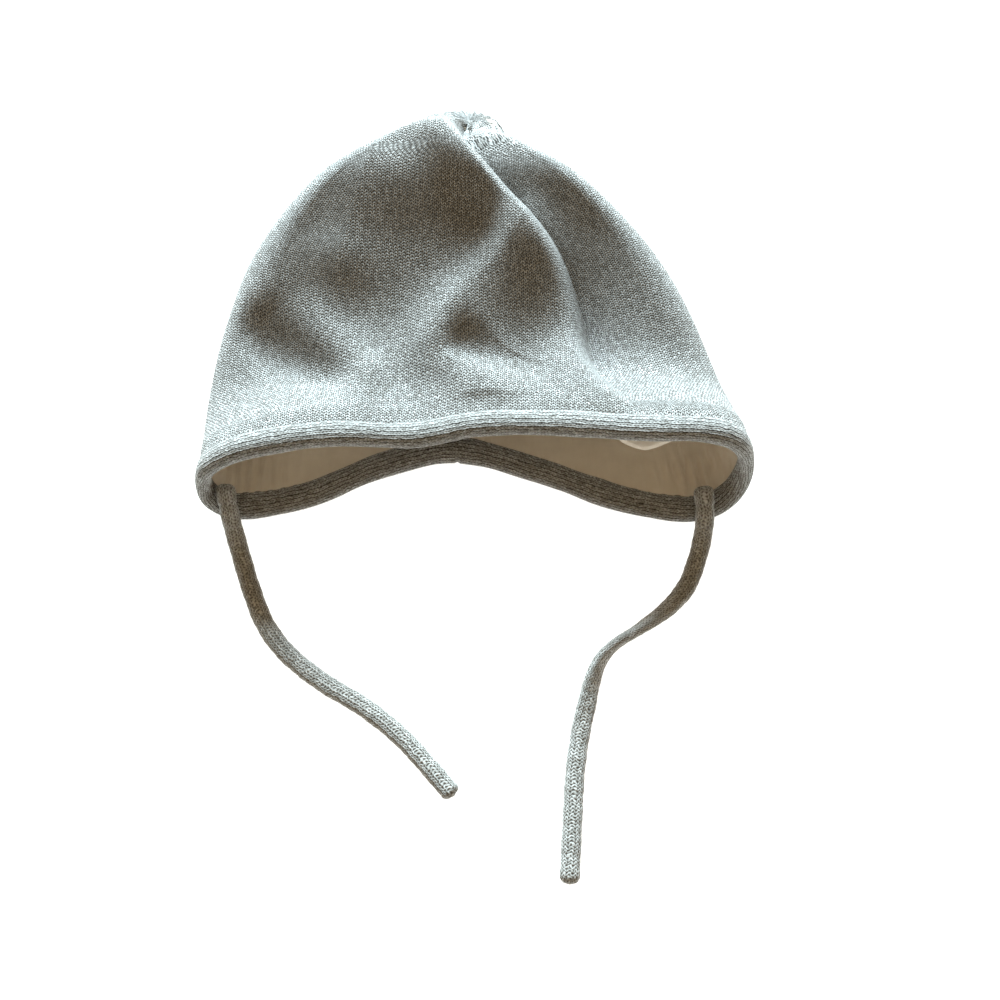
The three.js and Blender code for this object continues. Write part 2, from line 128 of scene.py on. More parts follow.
class CapStage(bpy.types.PropertyGroup):
    """Camera and lights."""

    distance: bpy.props.FloatProperty(
        name="Camera distance", description="From the camera to what it looks at", default=0.52, unit="LENGTH"
    )
    elevation: bpy.props.FloatProperty(
        name="Camera elevation", description="Camera's angle above the table", default=math.radians(68),
        subtype="ANGLE",
    )
    window_power: bpy.props.FloatProperty(
        name="Window light", description="Power of the compact cool light beyond the crown", default=80.0,
        unit="POWER",
    )
    sweep_power: bpy.props.FloatProperty(
        name="Table light", description="Power of the soft box that lights the table alone", default=58.0,
        unit="POWER",
    )
    fill_strength: bpy.props.FloatProperty(
        name="Fill", description="Strength of the warm light from all around", default=0.3
    )


# ---- The cap's form, from the same named tables as its solids ----

SHELL_WALL = 1.8  # knitted outer shell
LINING_WALL = 1.0  # jersey lining, as a solid
GAP = 0.3  # clearance kept between neighbouring pieces
BAND_WIDTH = 9.5  # rolled binding, from its edge to the shell
ROUND_LIMIT = 0.98  # largest side roll, as a share of the half width
LEAST_WIDTH = 1e-6  # half width at the very tip
BACK_ROUND = 20.0  # radius of the side roll in the layer underneath
FRONT_ROUND = 16.0  # radius of the side roll in the layer on top
EDGE_BLEND = 0.3  # share of the height over which the edge's line fades into the crown's
CREST_FADE = 0.05  # share of the height over which the folds grow above the binding
SIDE_FADE = 0.78  # share of the half width past which the folds die out
SAG_FROM = 0.3  # shares of the half width between which the sag dies out towards a rim
SAG_TO = 0.85
CREASE_FRONT = 12.0  # how far the main crease swells the front panel
CREASE_ROLL = 8.0  # how far the front panel rolls over before the main crease
CREASE_FOOT = 16.0  # how far the right panel sinks beside it
CREASE_SINK = 1.2  # depth of that sink, as a share of the crest
FOLD_SPILL = 12.0  # how far the other folds reach past the main crease
TIP_NORMAL = np.array([0.0, 0.406, 0.914])  # the way out at the gathered tip
SEWN_SHARE = 0.03  # share of the height over which cloth is drawn in under the binding
QUARTERS = (0, 0.25, 0.5, 0.75, 1)  # shares of the way around at which a quarter starts
EDGE_SAMPLES = 1001
TIE_SAMPLES = 4001
# The last row before the tip's point, on the shell's outside and on what lies within.
HIGHEST = 0.995
HIGHEST_INSIDE = 0.985

# The edge, along the middle of the binding: x, y, z. A quarter of the cap starts every fifth row.
EDGE = np.array(
    [
        (-6, -53.5, 2.9), (-32, -59, 2.9), (-57, -70, 2.9), (-79, -74.5, 3.4), (-89, -73, 8),
        (-91, -69.5, 16), (-86.5, -66.5, 24), (-73, -63, 29), (-48, -58.5, 28),
        (-21, -56, 21.5), (2, -52.5, 23), (28, -55, 29), (54, -59, 34), (76, -60.5, 35.5),
        (87, -62, 30), (91, -65.5, 18), (86.5, -71.5, 7), (74, -75.5, 3.2), (50, -71.5, 2.9),
        (22, -61, 2.9),
    ]
)

# Cross-sections of the crown from its edge to its gathered tip.
RING_COLUMNS = ("up", "y", "lean", "left", "right", "under", "side", "over", "sag", "crease", "crest")
RINGS = np.array(
    [
        (0, -62, 0, -93.5, 89, 0, 15.5, 26, 0, 0.515, 0),
        (0.15, -38, 0, -92, 84, 0, 14, 19, -2, 0.49, 4),
        (0.31, -12, 0, -87.5, 77.5, 0, 14, 26, 5.5, 0.485, 4.6),
        (0.47, 14, 0, -79, 64.5, 0, 14, 34, 6, 0.42, 4.4),
        (0.63, 38, 0, -61, 43, 0, 14, 42, 3, 0.235, 4.8),
        (0.76, 54, 1.5, -41, 23, 0, 14, 40.5, 0.5, 0.11, 5.4),
        (0.86, 67, 8.5, -24.5, 12.5, 3, 16.5, 35.8, 0, 0.05, 4.6),
        (0.93, 71.5, 9, -17, 8.5, 11, 21.5, 33.5, 0, 0.04, 2.6),
        (0.97, 70, 6, -11, 5, 20, 25.5, 31, 0, 0.04, 0.8),
        (1, 65, 0, -2.5, -2.5, 28.5, 28.5, 28.5, 0, 0.04, 0),
    ]
)

# Folds of the layer on top. height is the crest, or the depth where it is negative; left and
# right are how far it reaches to each side of its path.
FOLDS = [
    {
        "name": "terrace inside the curl",
        "path": [
            (27, 34), (23, 27), (17.5, 18), (12, 10), (6, 3.5), (0, -2.5), (-6, -8),
            (-10, -14), (-12.5, -21), (-13.5, -29),
        ],
        "height": 6.5, "left": 20, "right": 10, "fade_in": 0.3, "fade_out": 0.4,
    },
    {
        "name": "curl",
        "path": [
            (0, -2.5), (-6, -8), (-10.5, -14), (-13, -20), (-12.5, -25.5), (-7.5, -30),
            (-0.5, -33.5), (6.5, -36.5), (13, -40), (20, -43.5), (27, -47.5),
        ],
        "height": 4, "left": 7, "right": 10, "fade_in": 0.35, "fade_out": 0.45,
    },
    {
        "name": "left ridge",
        "path": [
            (-62, -2), (-57, -10), (-50, -20), (-42, -28), (-34, -34), (-27, -40),
        ],
        "height": 2.8, "left": 9, "right": 9, "fade_in": 0.45, "fade_out": 0.3,
    },
    {
        "name": "left valley",
        "path": [
            (-84, -5), (-77, -16), (-67, -24.5), (-57, -31.5), (-46, -37), (-37, -41),
        ],
        "height": -3.4, "left": 10, "right": 9, "fade_in": 0.25, "fade_out": 0.3,
    },
    {
        "name": "left shoulder",
        "path": [
            (-40, 42), (-43, 28), (-46, 14), (-49, 0), (-50, -14),
        ],
        "height": 3.6, "left": 14, "right": 13, "fade_in": 0.75, "fade_out": 0.5,
    },
]

# Routes of the ties' middle lines from the binding to the free end: x, y, z and roll in degrees.
LEFT_TIE = [
    (-84.6, -69.5, 10.9, -28), (-83.6, -75, 10.6, -28), (-82.4, -80.6, 8, -18),
    (-80.8, -86.4, 4.2, -5), (-78.8, -92.8, 2.1, 0), (-74.9, -104, 2, 0),
    (-69.4, -116.5, 2, 0), (-61.5, -126.6, 2, 0), (-50, -135.8, 2, 0), (-38, -143, 2, 0),
    (-32.1, -147.1, 2, 0), (-26.4, -151.6, 2, 0), (-20.9, -156.7, 2, 0), (-15.8, -162.2, 2, 0),
    (-6, -173.4, 2, 0),
]
RIGHT_TIE = [
    (77.6, -69.6, 9, 14), (77.8, -75.4, 9.4, 14), (77.8, -81.3, 7.3, 8), (77, -87.2, 3.8, 0),
    (75.2, -93.6, 2.1, 0), (71.2, -103.2, 2.1, 8), (64.2, -111.4, 2.8, 35),
    (54.8, -118.4, 3.4, 65), (46.8, -123.6, 3.6, 88), (41.8, -129, 3.6, 110),
    (38.9, -135.6, 3.2, 135), (36.7, -144.1, 2.6, 160), (34.5, -153.6, 2, 180),
    (32.7, -165.1, 2, 180), (31.7, -178, 2, 180), (30.9, -190.4, 2, 180), (30.2, -201, 2, 180),
]


def smooth(start, end, value):
    """Climbs softly from 0 to 1 as the value goes from start to end."""
    share = np.clip((value - start) / (end - start), 0, 1)
    return share * share * (3 - 2 * share)


def bell(distance, reach):
    """Falls softly from 1 at no distance towards 0 beyond its reach."""
    return np.exp(-((distance / reach) ** 2))


def unit(vectors):
    return vectors / np.maximum(np.linalg.norm(vectors, axis=-1, keepdims=True), 1e-12)


def running_sum(steps, axis=0):
    """The sum of the steps so far along an axis, from zero."""
    return np.concatenate([np.zeros_like(steps.take([0], axis)), np.cumsum(steps, axis)], axis)


def spline(points, place, closed):
    """A smooth line through points, at places counted in rows."""
    count = len(points)
    place = np.asarray(place, float)
    if closed:
        index = np.floor(place).astype(int)
        around = [points[(index + k) % count] for k in (-1, 0, 1, 2)]
    else:
        padded = np.vstack([2 * points[0] - points[1], points, 2 * points[-1] - points[-2]])
        index = np.minimum(np.floor(place).astype(int), count - 2)
        around = [padded[index + k] for k in (0, 1, 2, 3)]
    f = (place - index)[..., None]
    before, start, end, after = around
    leave, arrive = (end - before) / 2, (after - start) / 2
    cubic = 2 * start - 2 * end + leave + arrive
    squared = 3 * end - 3 * start - 2 * leave - arrive
    return cubic * f**3 + squared * f**2 + leave * f + start


EDGE_PLACES = np.linspace(0, len(EDGE), EDGE_SAMPLES)
EDGE_LENGTHS = running_sum(np.linalg.norm(np.diff(spline(EDGE, EDGE_PLACES, True), axis=0), axis=1))
QUARTER_LENGTHS = np.interp(np.multiply(QUARTERS, len(EDGE)), EDGE_PLACES, EDGE_LENGTHS)


def edge_point(around):
    """A point of the edge, at a share of the way around in which each quarter counts the same."""
    turn = np.asarray(around, float) % 1.0
    length = np.interp(turn, QUARTERS, QUARTER_LENGTHS)
    return spline(EDGE, np.interp(length, EDGE_LENGTHS, EDGE_PLACES), True)


def edge_frame(around):
    """A point of the edge, the way across the binding to the crown, and the way out of the cap."""
    step = 2e-4
    along = unit(edge_point(around + step) - edge_point(around - step))
    upward = np.zeros_like(along)
    upward[..., 1] = 1
    inward = unit(upward - (upward * along).sum(-1, keepdims=True) * along)
    return edge_point(around), inward, np.cross(along, inward)


def ring_values(up):
    """The columns of RINGS at any height."""
    up = np.clip(np.asarray(up, float), 0, 1)
    marks, values = RINGS[:, 0], RINGS[:, 1:]
    slopes = np.empty_like(values)
    slopes[1:-1] = (values[2:] - values[:-2]) / (marks[2:] - marks[:-2])[:, None]
    slopes[0] = (values[1] - values[0]) / (marks[1] - marks[0])
    slopes[-1] = (values[-1] - values[-2]) / (marks[-1] - marks[-2])
    low = np.clip(np.searchsorted(marks, up, side="right") - 1, 0, len(marks) - 2)
    span = (marks[low + 1] - marks[low])[..., None]
    f = (up - marks[low])[..., None] / span
    result = (
        (2 * f**3 - 3 * f**2 + 1) * values[low]
        + (f**3 - 2 * f**2 + f) * span * slopes[low]
        + (3 * f**2 - 2 * f**3) * values[low + 1]
        + (f**3 - f**2) * span * slopes[low + 1]
    )
    return {key: result[..., n] for n, key in enumerate(RING_COLUMNS[1:])}


def quarter_of(around):
    """The share of the way from the middle of a layer to its side, and which quarter it is in."""
    turn = np.asarray(around, float) % 1.0
    quarter = np.floor(turn * 4)
    share = turn * 4 - quarter
    return np.where(quarter % 2 == 0, share, 1 - share), (quarter == 0) | (quarter == 3), quarter < 2


def ring_point(around, up):
    """A point of the flattened tube that the crown's cross-sections make."""
    share, is_back, is_left = quarter_of(around)
    ring = ring_values(up)
    middle = (ring["left"] + ring["right"]) / 2
    half = np.maximum((ring["right"] - ring["left"]) / 2, LEAST_WIDTH)
    radius = np.minimum(np.where(is_back, BACK_ROUND, FRONT_ROUND), half * ROUND_LIMIT)
    rise = np.where(is_back, ring["side"] - ring["under"], ring["over"] - ring["side"])
    flat = half - radius
    arc = np.pi / 2 * np.sqrt((radius**2 + rise**2) / 2)
    run = share * (flat + arc)
    angle = np.clip((run - flat) / arc, 0, 1) * np.pi / 2
    across = np.where(run <= flat, run, flat + radius * np.sin(angle))
    lift = np.where(run <= flat, 0, rise * (1 - np.cos(angle)))
    return np.stack(
        [
            middle + np.where(is_left, -across, across),
            ring["y"] + ring["lean"] * np.cos(2 * np.pi * np.asarray(around)),
            np.where(is_back, ring["under"] + lift, ring["over"] - lift),
        ],
        -1,
    )


def base_point(around, up):
    """The outer surface before its folds."""
    around, up = np.broadcast_arrays(np.asarray(around, float), np.asarray(up, float))
    centre, inward, outward = edge_frame(around)
    rim = centre + inward * (BAND_WIDTH / 2 + GAP) + outward * ((SHELL_WALL + GAP + LINING_WALL) / 2)
    shift = rim - ring_point(around, np.zeros_like(up))
    point = ring_point(around, up) + shift * (1 - smooth(0, EDGE_BLEND, up))[..., None]
    point[..., 2] = np.maximum(point[..., 2], 0)
    return point


def base_normal(around, up):
    """The way out of that surface, which is the binding's own way out at the edge."""
    around, up = np.broadcast_arrays(np.asarray(around, float), np.asarray(up, float))
    step = 1e-3
    low, high = np.maximum(0, up - step), np.minimum(HIGHEST, up + step)
    across = base_point(around + step, up) - base_point(around - step, up)
    square = unit(np.cross(across, base_point(around, high) - base_point(around, low)))
    outward = edge_frame(around)[2]
    return unit(outward + (square - outward) * smooth(0, CREST_FADE, up)[..., None])


def fold_height(fold, x, y):
    """How far a fold lifts the layer on top at x and y."""
    steps = 40
    points = np.array(fold["path"], float)
    line = spline(points, np.linspace(0, len(points) - 1, steps + 1), False)
    nearest = np.full(x.shape, 1e9)
    on_left = np.zeros(x.shape, bool)
    along = np.zeros(x.shape)
    for step in range(steps):
        run = line[step + 1] - line[step]
        dx, dy = x - line[step, 0], y - line[step, 1]
        share = np.clip((dx * run[0] + dy * run[1]) / (run @ run), 0, 1)
        off_x, off_y = dx - share * run[0], dy - share * run[1]
        distance = np.hypot(off_x, off_y)
        closer = distance < nearest
        nearest = np.where(closer, distance, nearest)
        on_left = np.where(closer, run[0] * off_y - run[1] * off_x > 0, on_left)
        along = np.where(closer, (step + share) / steps, along)
    reach = np.where(on_left, fold["left"], fold["right"])
    fade = smooth(0, fold["fade_in"], along) * smooth(0, fold["fade_out"], 1 - along)
    return fold["height"] * fade * bell(nearest, reach)


def crease_height(across, crest):
    """The front panel rolls over into the main crease, and the right panel climbs slowly out of it."""
    swell = bell(across + CREASE_ROLL, CREASE_FRONT)
    roll = 1 - (1 + CREASE_SINK) * (across / CREASE_ROLL + 1) ** 2
    climb = -CREASE_SINK * np.exp(-np.maximum(across, 0) / CREASE_FOOT)
    return crest * np.where(across < -CREASE_ROLL, swell, np.where(across < 0, roll, climb))


def relief(around, up, base):
    """How far folds, the crease and the sag lift the layer on top above its base."""
    share, is_back, _ = quarter_of(around)
    ring = ring_values(up)
    x, y = base[..., 0], base[..., 1]
    height = sum(fold_height(fold, x, y) for fold in FOLDS)
    past_crease = x - base_point(0.5 + ring["crease"] / 4, up)[..., 0]
    height = height * smooth(0, CREST_FADE, up) * bell(np.maximum(past_crease, 0), FOLD_SPILL)
    height = height + crease_height(past_crease, ring["crest"])
    height = height - ring["sag"] * (1 - smooth(SAG_FROM, SAG_TO, share))
    return np.where(is_back, 0, height * (1 - smooth(SIDE_FADE, 1, share)))


def wall_point(around, up, depth=0.0):
    """A point of the cap's cloth, at a depth inside its outer surface, in millimetres."""
    around, up = np.broadcast_arrays(np.asarray(around, float), np.asarray(up, float))
    base = base_point(around, up)
    height = relief(around, up, base)
    point = base - base_normal(around, up) * np.asarray(depth)[..., None]
    point[..., 2] += height
    return point


def tucked(points, around, up, reach, lift):
    """Cloth whose first rows are drawn in under the binding, where they are sewn to it."""
    _, inward, outward = edge_frame(around)
    drawn = reach * (1 - smooth(0, SEWN_SHARE, up))[..., None]
    return points - inward * drawn + outward * lift * (1 - smooth(0, 2 * SEWN_SHARE, up))[..., None]


def column_shares(up, back, front, to_crease, past_crease):
    """Shares of the way around for the columns at each height, one of them on the main crease."""
    crease = ring_values(up)["crease"][..., None]
    shape = crease.shape[:-1]
    before = np.arange(to_crease) / to_crease
    after = np.arange(past_crease) / past_crease
    back_left = np.broadcast_to(np.arange(back) / back / 4, (*shape, back))
    front_left = np.broadcast_to((1 + np.arange(front) / front) / 4, (*shape, front))
    front_right = (2 + np.concatenate([crease * before, crease + (1 - crease) * after], -1)) / 4
    back_right = np.broadcast_to((3 + np.arange(back) / back) / 4, (*shape, back))
    return np.concatenate([back_left, front_left, front_right, back_right], -1)


# The gathered tip: its pleats in millimetres, and where they open and close as shares of the way up.
PLEATS = 21
PLEAT_HEIGHT = 0.6
PLEAT_UNEVEN = 0.8
PLEAT_SINK = 0.4
FAN_OPENS = (0.84, 0.95)
FAN_CLOSES = (0.985, 1.0)
TIP_FROM = 0.8
TIP_FULL = 0.9
# Swells and dips that ease the gathers into the crown: x, y, reach across, reach along, height.
TIP_SWELLS = [(3.5, 59.0, 8.0, 3.2, 1.0), (8.0, 71.0, 7.5, 7.0, -4.5)]
# Small holes where the last stitches were drawn together beside the main crease: x, y.
EYELETS = [(-6.2, 65.0), (-4.1, 61.3), (-2.0, 58.8)]
EYELET_DEPTH = 1.35
EYELET_RADIUS = 0.9
# What a distance along the cap counts for, so that each hole is longer than it is wide.
EYELET_ALONG = 0.6


def gathered(points, around, up):
    """The gathered tip: pleats that fan out from it, and small holes beside the main crease."""
    x, y = points[..., 0], points[..., 1]
    turn = 2 * np.pi * around
    fan = smooth(*FAN_OPENS, up) * (1 - smooth(*FAN_CLOSES, up))
    wave = np.cos(PLEATS * turn + PLEAT_UNEVEN * np.sin(3 * turn)) - PLEAT_SINK
    height = PLEAT_HEIGHT * fan * wave
    pierced = ~quarter_of(around)[1] & (up > TIP_FROM)
    for middle_x, middle_y in EYELETS:
        far = np.hypot(x - middle_x, (y - middle_y) * EYELET_ALONG)
        height = height - EYELET_DEPTH * bell(far, EYELET_RADIUS) * pierced
    moved = points + base_normal(around, up) * height[..., None]
    rise = 0.0
    for middle_x, middle_y, wide, long, lift in TIP_SWELLS:
        far = np.hypot((x - middle_x) / wide, (y - middle_y) / long)
        rise = rise + lift * bell(far, 1) * smooth(TIP_FROM, TIP_FULL, up)
    moved[..., 2] += rise
    return moved


# The lining's slack: soft waves, in millimetres and in shares of the way up.
WAVE_HEIGHT = 0.8
WAVE_LENGTH = 6.0
WAVE_DRIFT = 23.0
WAVE_LEAN = 11.0
WAVES_UP = 34
WAVES_BEGIN = (0.02, 0.1)
WAVES_END = (0.7, 0.85)
# Puckers stand around the sewn ends of the ties: shares of the way around, and of the way up.
PUCKER_TURNS = (0.19, 0.805)
PUCKER_REACH = 0.035
PUCKER_PITCH = 0.0115
PUCKER_UP = 0.045
PUCKER_REACH_UP = 0.03
PUCKER_HEIGHT = 1.4
# The fold of lining that hangs below the brow on the right.
HANG_TURN = 0.645
HANG_REACH = 0.06
HANG_FLATNESS = 1.6
HANG_UP = 0.05
HANG_REACH_UP = 0.026
HANG_DROP = 14.6
HANG_INWARD = 3.5
HANG_RIPPLE = 0.02
HANG_RIPPLES = 130


def slack(points, around, up):
    """The lining's slack: soft waves, puckers where the ties are sewn in, and a fold that hangs
    below the binding of the brow on the right."""
    _, inward, outward = edge_frame(around)
    turn = around % 1.0
    x = points[..., 0]
    puckers = 0.0
    for place in PUCKER_TURNS:
        folds = np.cos(2 * np.pi * (turn - place) / PUCKER_PITCH)
        puckers = puckers + bell(turn - place, PUCKER_REACH) * folds
    wander = np.sin(x / WAVE_LENGTH + 1.3 + 3 * np.sin(x / WAVE_DRIFT))
    waves = WAVE_HEIGHT * (1 + wander * np.sin(up * WAVES_UP + x / WAVE_LEAN))
    waves = waves * smooth(*WAVES_BEGIN, up) * (1 - smooth(*WAVES_END, up))
    inside = PUCKER_HEIGHT * bell(up - PUCKER_UP, PUCKER_REACH_UP) * puckers + waves
    brow = np.exp(-(np.abs((turn - HANG_TURN) / HANG_REACH) ** HANG_FLATNESS))
    hang = brow * bell(up - HANG_UP, HANG_REACH_UP)
    ripple = 1 + HANG_RIPPLE * np.sin(turn * HANG_RIPPLES)
    point = points - outward * (inside + HANG_INWARD * hang)[..., None]
    return point - inward * (HANG_DROP * hang * ripple)[..., None]


def cloth_grid(up, columns, depth, reach, lift):
    """A grid of the cap's cloth with its rows at these heights, sewn in at the edge: its points,
    and each one's share of the way around and of the way up."""
    around = column_shares(up, **columns)
    rows = np.broadcast_to(up[:, None], around.shape)
    return tucked(wall_point(around, rows, depth), around, rows, reach, lift), around, rows


def row_heights(*stretches):
    """Heights of rows that are evenly spaced within each stretch of start, end and count."""
    first, *others = (np.linspace(*stretch) for stretch in stretches)
    return np.concatenate([first, *(more[1:] for more in others)])


def to_frame(points):
    """Millimetres of the tables to metres of the frame."""
    return np.asarray(points) * MM


# ---- Meshes ----


def mesh_piece(name, points, faces, material, corner_uv=None):
    """A piece of one material, shaded smooth, with its stitch coordinates if it has them."""
    mesh = bpy.data.meshes.new(name)
    mesh.from_pydata(points.tolist(), [], faces)
    if corner_uv is not None:
        layer = mesh.uv_layers.new(name="UVMap")
        layer.data.foreach_set("uv", corner_uv.astype(np.float32).ravel())
    mesh.materials.append(material)
    mesh.polygons.foreach_set("use_smooth", np.ones(len(mesh.polygons), bool))
    mesh.update()
    piece = bpy.data.objects.new(name, mesh)
    bpy.context.scene.collection.objects.link(piece)
    return piece


def closed_wall(outer, outer_tip, inner, inner_tip):
    """Points and faces of a wall whose grids share their columns and join at their first rows, and
    how many faces come first that are quads of the outer grid."""
    rows, columns = outer.shape[:2]
    points = np.concatenate([outer.reshape(-1, 3), [outer_tip], inner.reshape(-1, 3), [inner_tip]])
    column = np.arange(columns)
    ahead = (column + 1) % columns
    inner_start = rows * columns + 1
    outer_end, inner_end = rows * columns, len(points) - 1

    def quads(start, count):
        low = start + np.arange(count - 1)[:, None] * columns
        corners = [low + column, low + ahead, low + columns + ahead, low + columns + column]
        return np.stack(corners, -1).reshape(-1, 4)

    def fan(end):
        last = end - columns
        return np.stack([last + column, last + ahead, np.full(columns, end)], -1)

    outer_quads = quads(0, rows)
    inner_quads = quads(inner_start, inner.shape[0])[:, ::-1]
    rim = np.stack([ahead, column, inner_start + column, inner_start + ahead], -1)
    inner_fan = fan(inner_end)[:, [1, 0, 2]]
    parts = (outer_quads, inner_quads, rim, fan(outer_end), inner_fan)
    return points, [face for part in parts for face in part.tolist()], len(outer_quads)


# ---- Materials ----


def add(tree, kind, settings=None, inputs=None):
    """Adds a node with its own settings, and links or sets its inputs by name or number. A node
    among the inputs stands for its first output."""
    node = tree.nodes.new(kind)
    for key, value in (settings or {}).items():
        setattr(node, key, value)
    for key, value in (inputs or {}).items():
        if isinstance(value, bpy.types.Node):
            value = value.outputs[0]
        if isinstance(value, bpy.types.NodeSocket):
            tree.links.new(value, node.inputs[key])
        else:
            node.inputs[key].default_value = value
    return node


def found(known, values):
    """Inputs by number, with the name of anything known replaced by it."""
    return {number: known.get(value, value) for number, value in enumerate(values)}


def new_material(name, constants):
    """A material with its tree and its shader, whose sockets get these constants."""
    material = bpy.data.materials.new(name)
    material.use_nodes = True
    shader = material.node_tree.nodes["Principled BSDF"]
    for key, value in constants.items():
        shader.inputs[key].default_value = value
    return material, material.node_tree, shader


# Where the spine of a leg lies, from the middle of its column to the column's edge.
LEG_SPINE = 0.42


def stitch_group():
    """Stocking stitch in stitch units: every stitch is a V of two plump legs with a hollow between
    neighbours. Gives its relief, and a chance value for each leg."""
    tree = bpy.data.node_groups.new("stocking_stitch", "ShaderNodeTree")
    face = tree.interface
    face.new_socket("Stitch", in_out="INPUT", socket_type="NodeSocketVector")
    for name, value in (("Slant", 0.8), ("Rib", 0.35), ("Dots", 1.5)):
        face.new_socket(name, in_out="INPUT", socket_type="NodeSocketFloat").default_value = value
    for name in ("Relief", "Chance"):
        face.new_socket(name, in_out="OUTPUT", socket_type="NodeSocketFloat")
    start = add(tree, "NodeGroupInput")
    place = add(tree, "ShaderNodeSeparateXYZ", inputs={0: start.outputs["Stitch"]})
    known = dict(start.outputs.items() + place.outputs.items())
    # The distance from the middle of the column, and the place along the slanted leg.
    for name, operation, *values in [
        ("column", "FRACT", "X"),
        ("centred", "SUBTRACT", "column", 0.5),
        ("side", "ABSOLUTE", "centred"),
        ("spread", "MULTIPLY", "side", 2.0),
        ("rise", "MULTIPLY", "spread", "Slant"),
        ("slanted", "SUBTRACT", "Y", "rise"),
        ("leg", "FRACT", "slanted"),
    ]:
        known[name] = add(tree, "ShaderNodeMath", {"operation": operation}, found(known, values))
    # From the spine to the middle of the column, and from the spine to its edge.
    for name, low, high, at_low, at_high in [
        ("inner", 0.0, LEG_SPINE, 1.0, 0.0), ("outer", LEG_SPINE, 1.0, 0.0, 1.0),
    ]:
        known[name] = add(
            tree, "ShaderNodeMapRange", {},
            {
                "Value": known["spread"], "From Min": low, "From Max": high,
                "To Min": at_low, "To Max": at_high,
            },
        )
    for name, operation, *values in [
        # Across a leg: full on its spine, a shallow dip at the column's middle, a groove at its edge.
        ("dip", "MULTIPLY", "inner", "inner"),
        ("groove", "MULTIPLY", "outer", "outer"),
        ("dipped", "MULTIPLY_ADD", "dip", -0.25, 1.0),
        ("rib", "MULTIPLY", "groove", "Rib"),
        ("across", "SUBTRACT", "dipped", "rib"),
        # Along a leg: full in its middle, pinched where the next stitch holds it.
        ("past", "MULTIPLY_ADD", "leg", 2.0, -1.0),
        ("pinch", "MULTIPLY", "past", "past"),
        ("along", "MULTIPLY_ADD", "pinch", -0.08, "across"),
        # The deepest spots, where four legs meet: on a column's edges and, half a course off,
        # inside its V.
        ("meeting", "MAXIMUM", "outer", "inner"),
        ("corner", "MULTIPLY", "meeting", "pinch"),
        ("dots", "MULTIPLY", "corner", "Dots"),
        ("plump", "SUBTRACT", "along", "dots"),
        ("height", "MAXIMUM", "plump", 0.0),
        # The leg's own number, and which half of its column it is in.
        ("number", "FLOOR", "slanted"),
        ("doubled", "MULTIPLY", "X", 2.0),
        ("half", "FLOOR", "doubled"),
    ]:
        known[name] = add(tree, "ShaderNodeMath", {"operation": operation}, found(known, values))
    cell = add(tree, "ShaderNodeCombineXYZ", inputs={0: known["half"], 1: known["number"]})
    chance = add(tree, "ShaderNodeTexWhiteNoise", {"noise_dimensions": "2D"}, {"Vector": cell})
    add(tree, "NodeGroupOutput", inputs={0: known["height"], 1: chance.outputs["Value"]})
    return tree


# Patches to a metre of the three noises in the yarn. No stitch lies quite where its neighbours
# would have it, and they stray together over 2.2 mm. Fibres are 0.02 mm thick: drawn coarser, as
# tufts 0.5 mm apart, so that they still show. The yarn's own shade changes over 1.4 mm.
STRAY_SCALE = 450.0
FIBRE_SCALE = 2000.0
SHADE_SCALE = 700.0
# How far stitches stray at most, in stitches, and what a leg's own grey, the slow change of shade
# and the fluff count for.
STRAY = 0.9
LEG_SHARE = 0.3
SHADE_SHARE = 0.08
FLUFF = 0.3


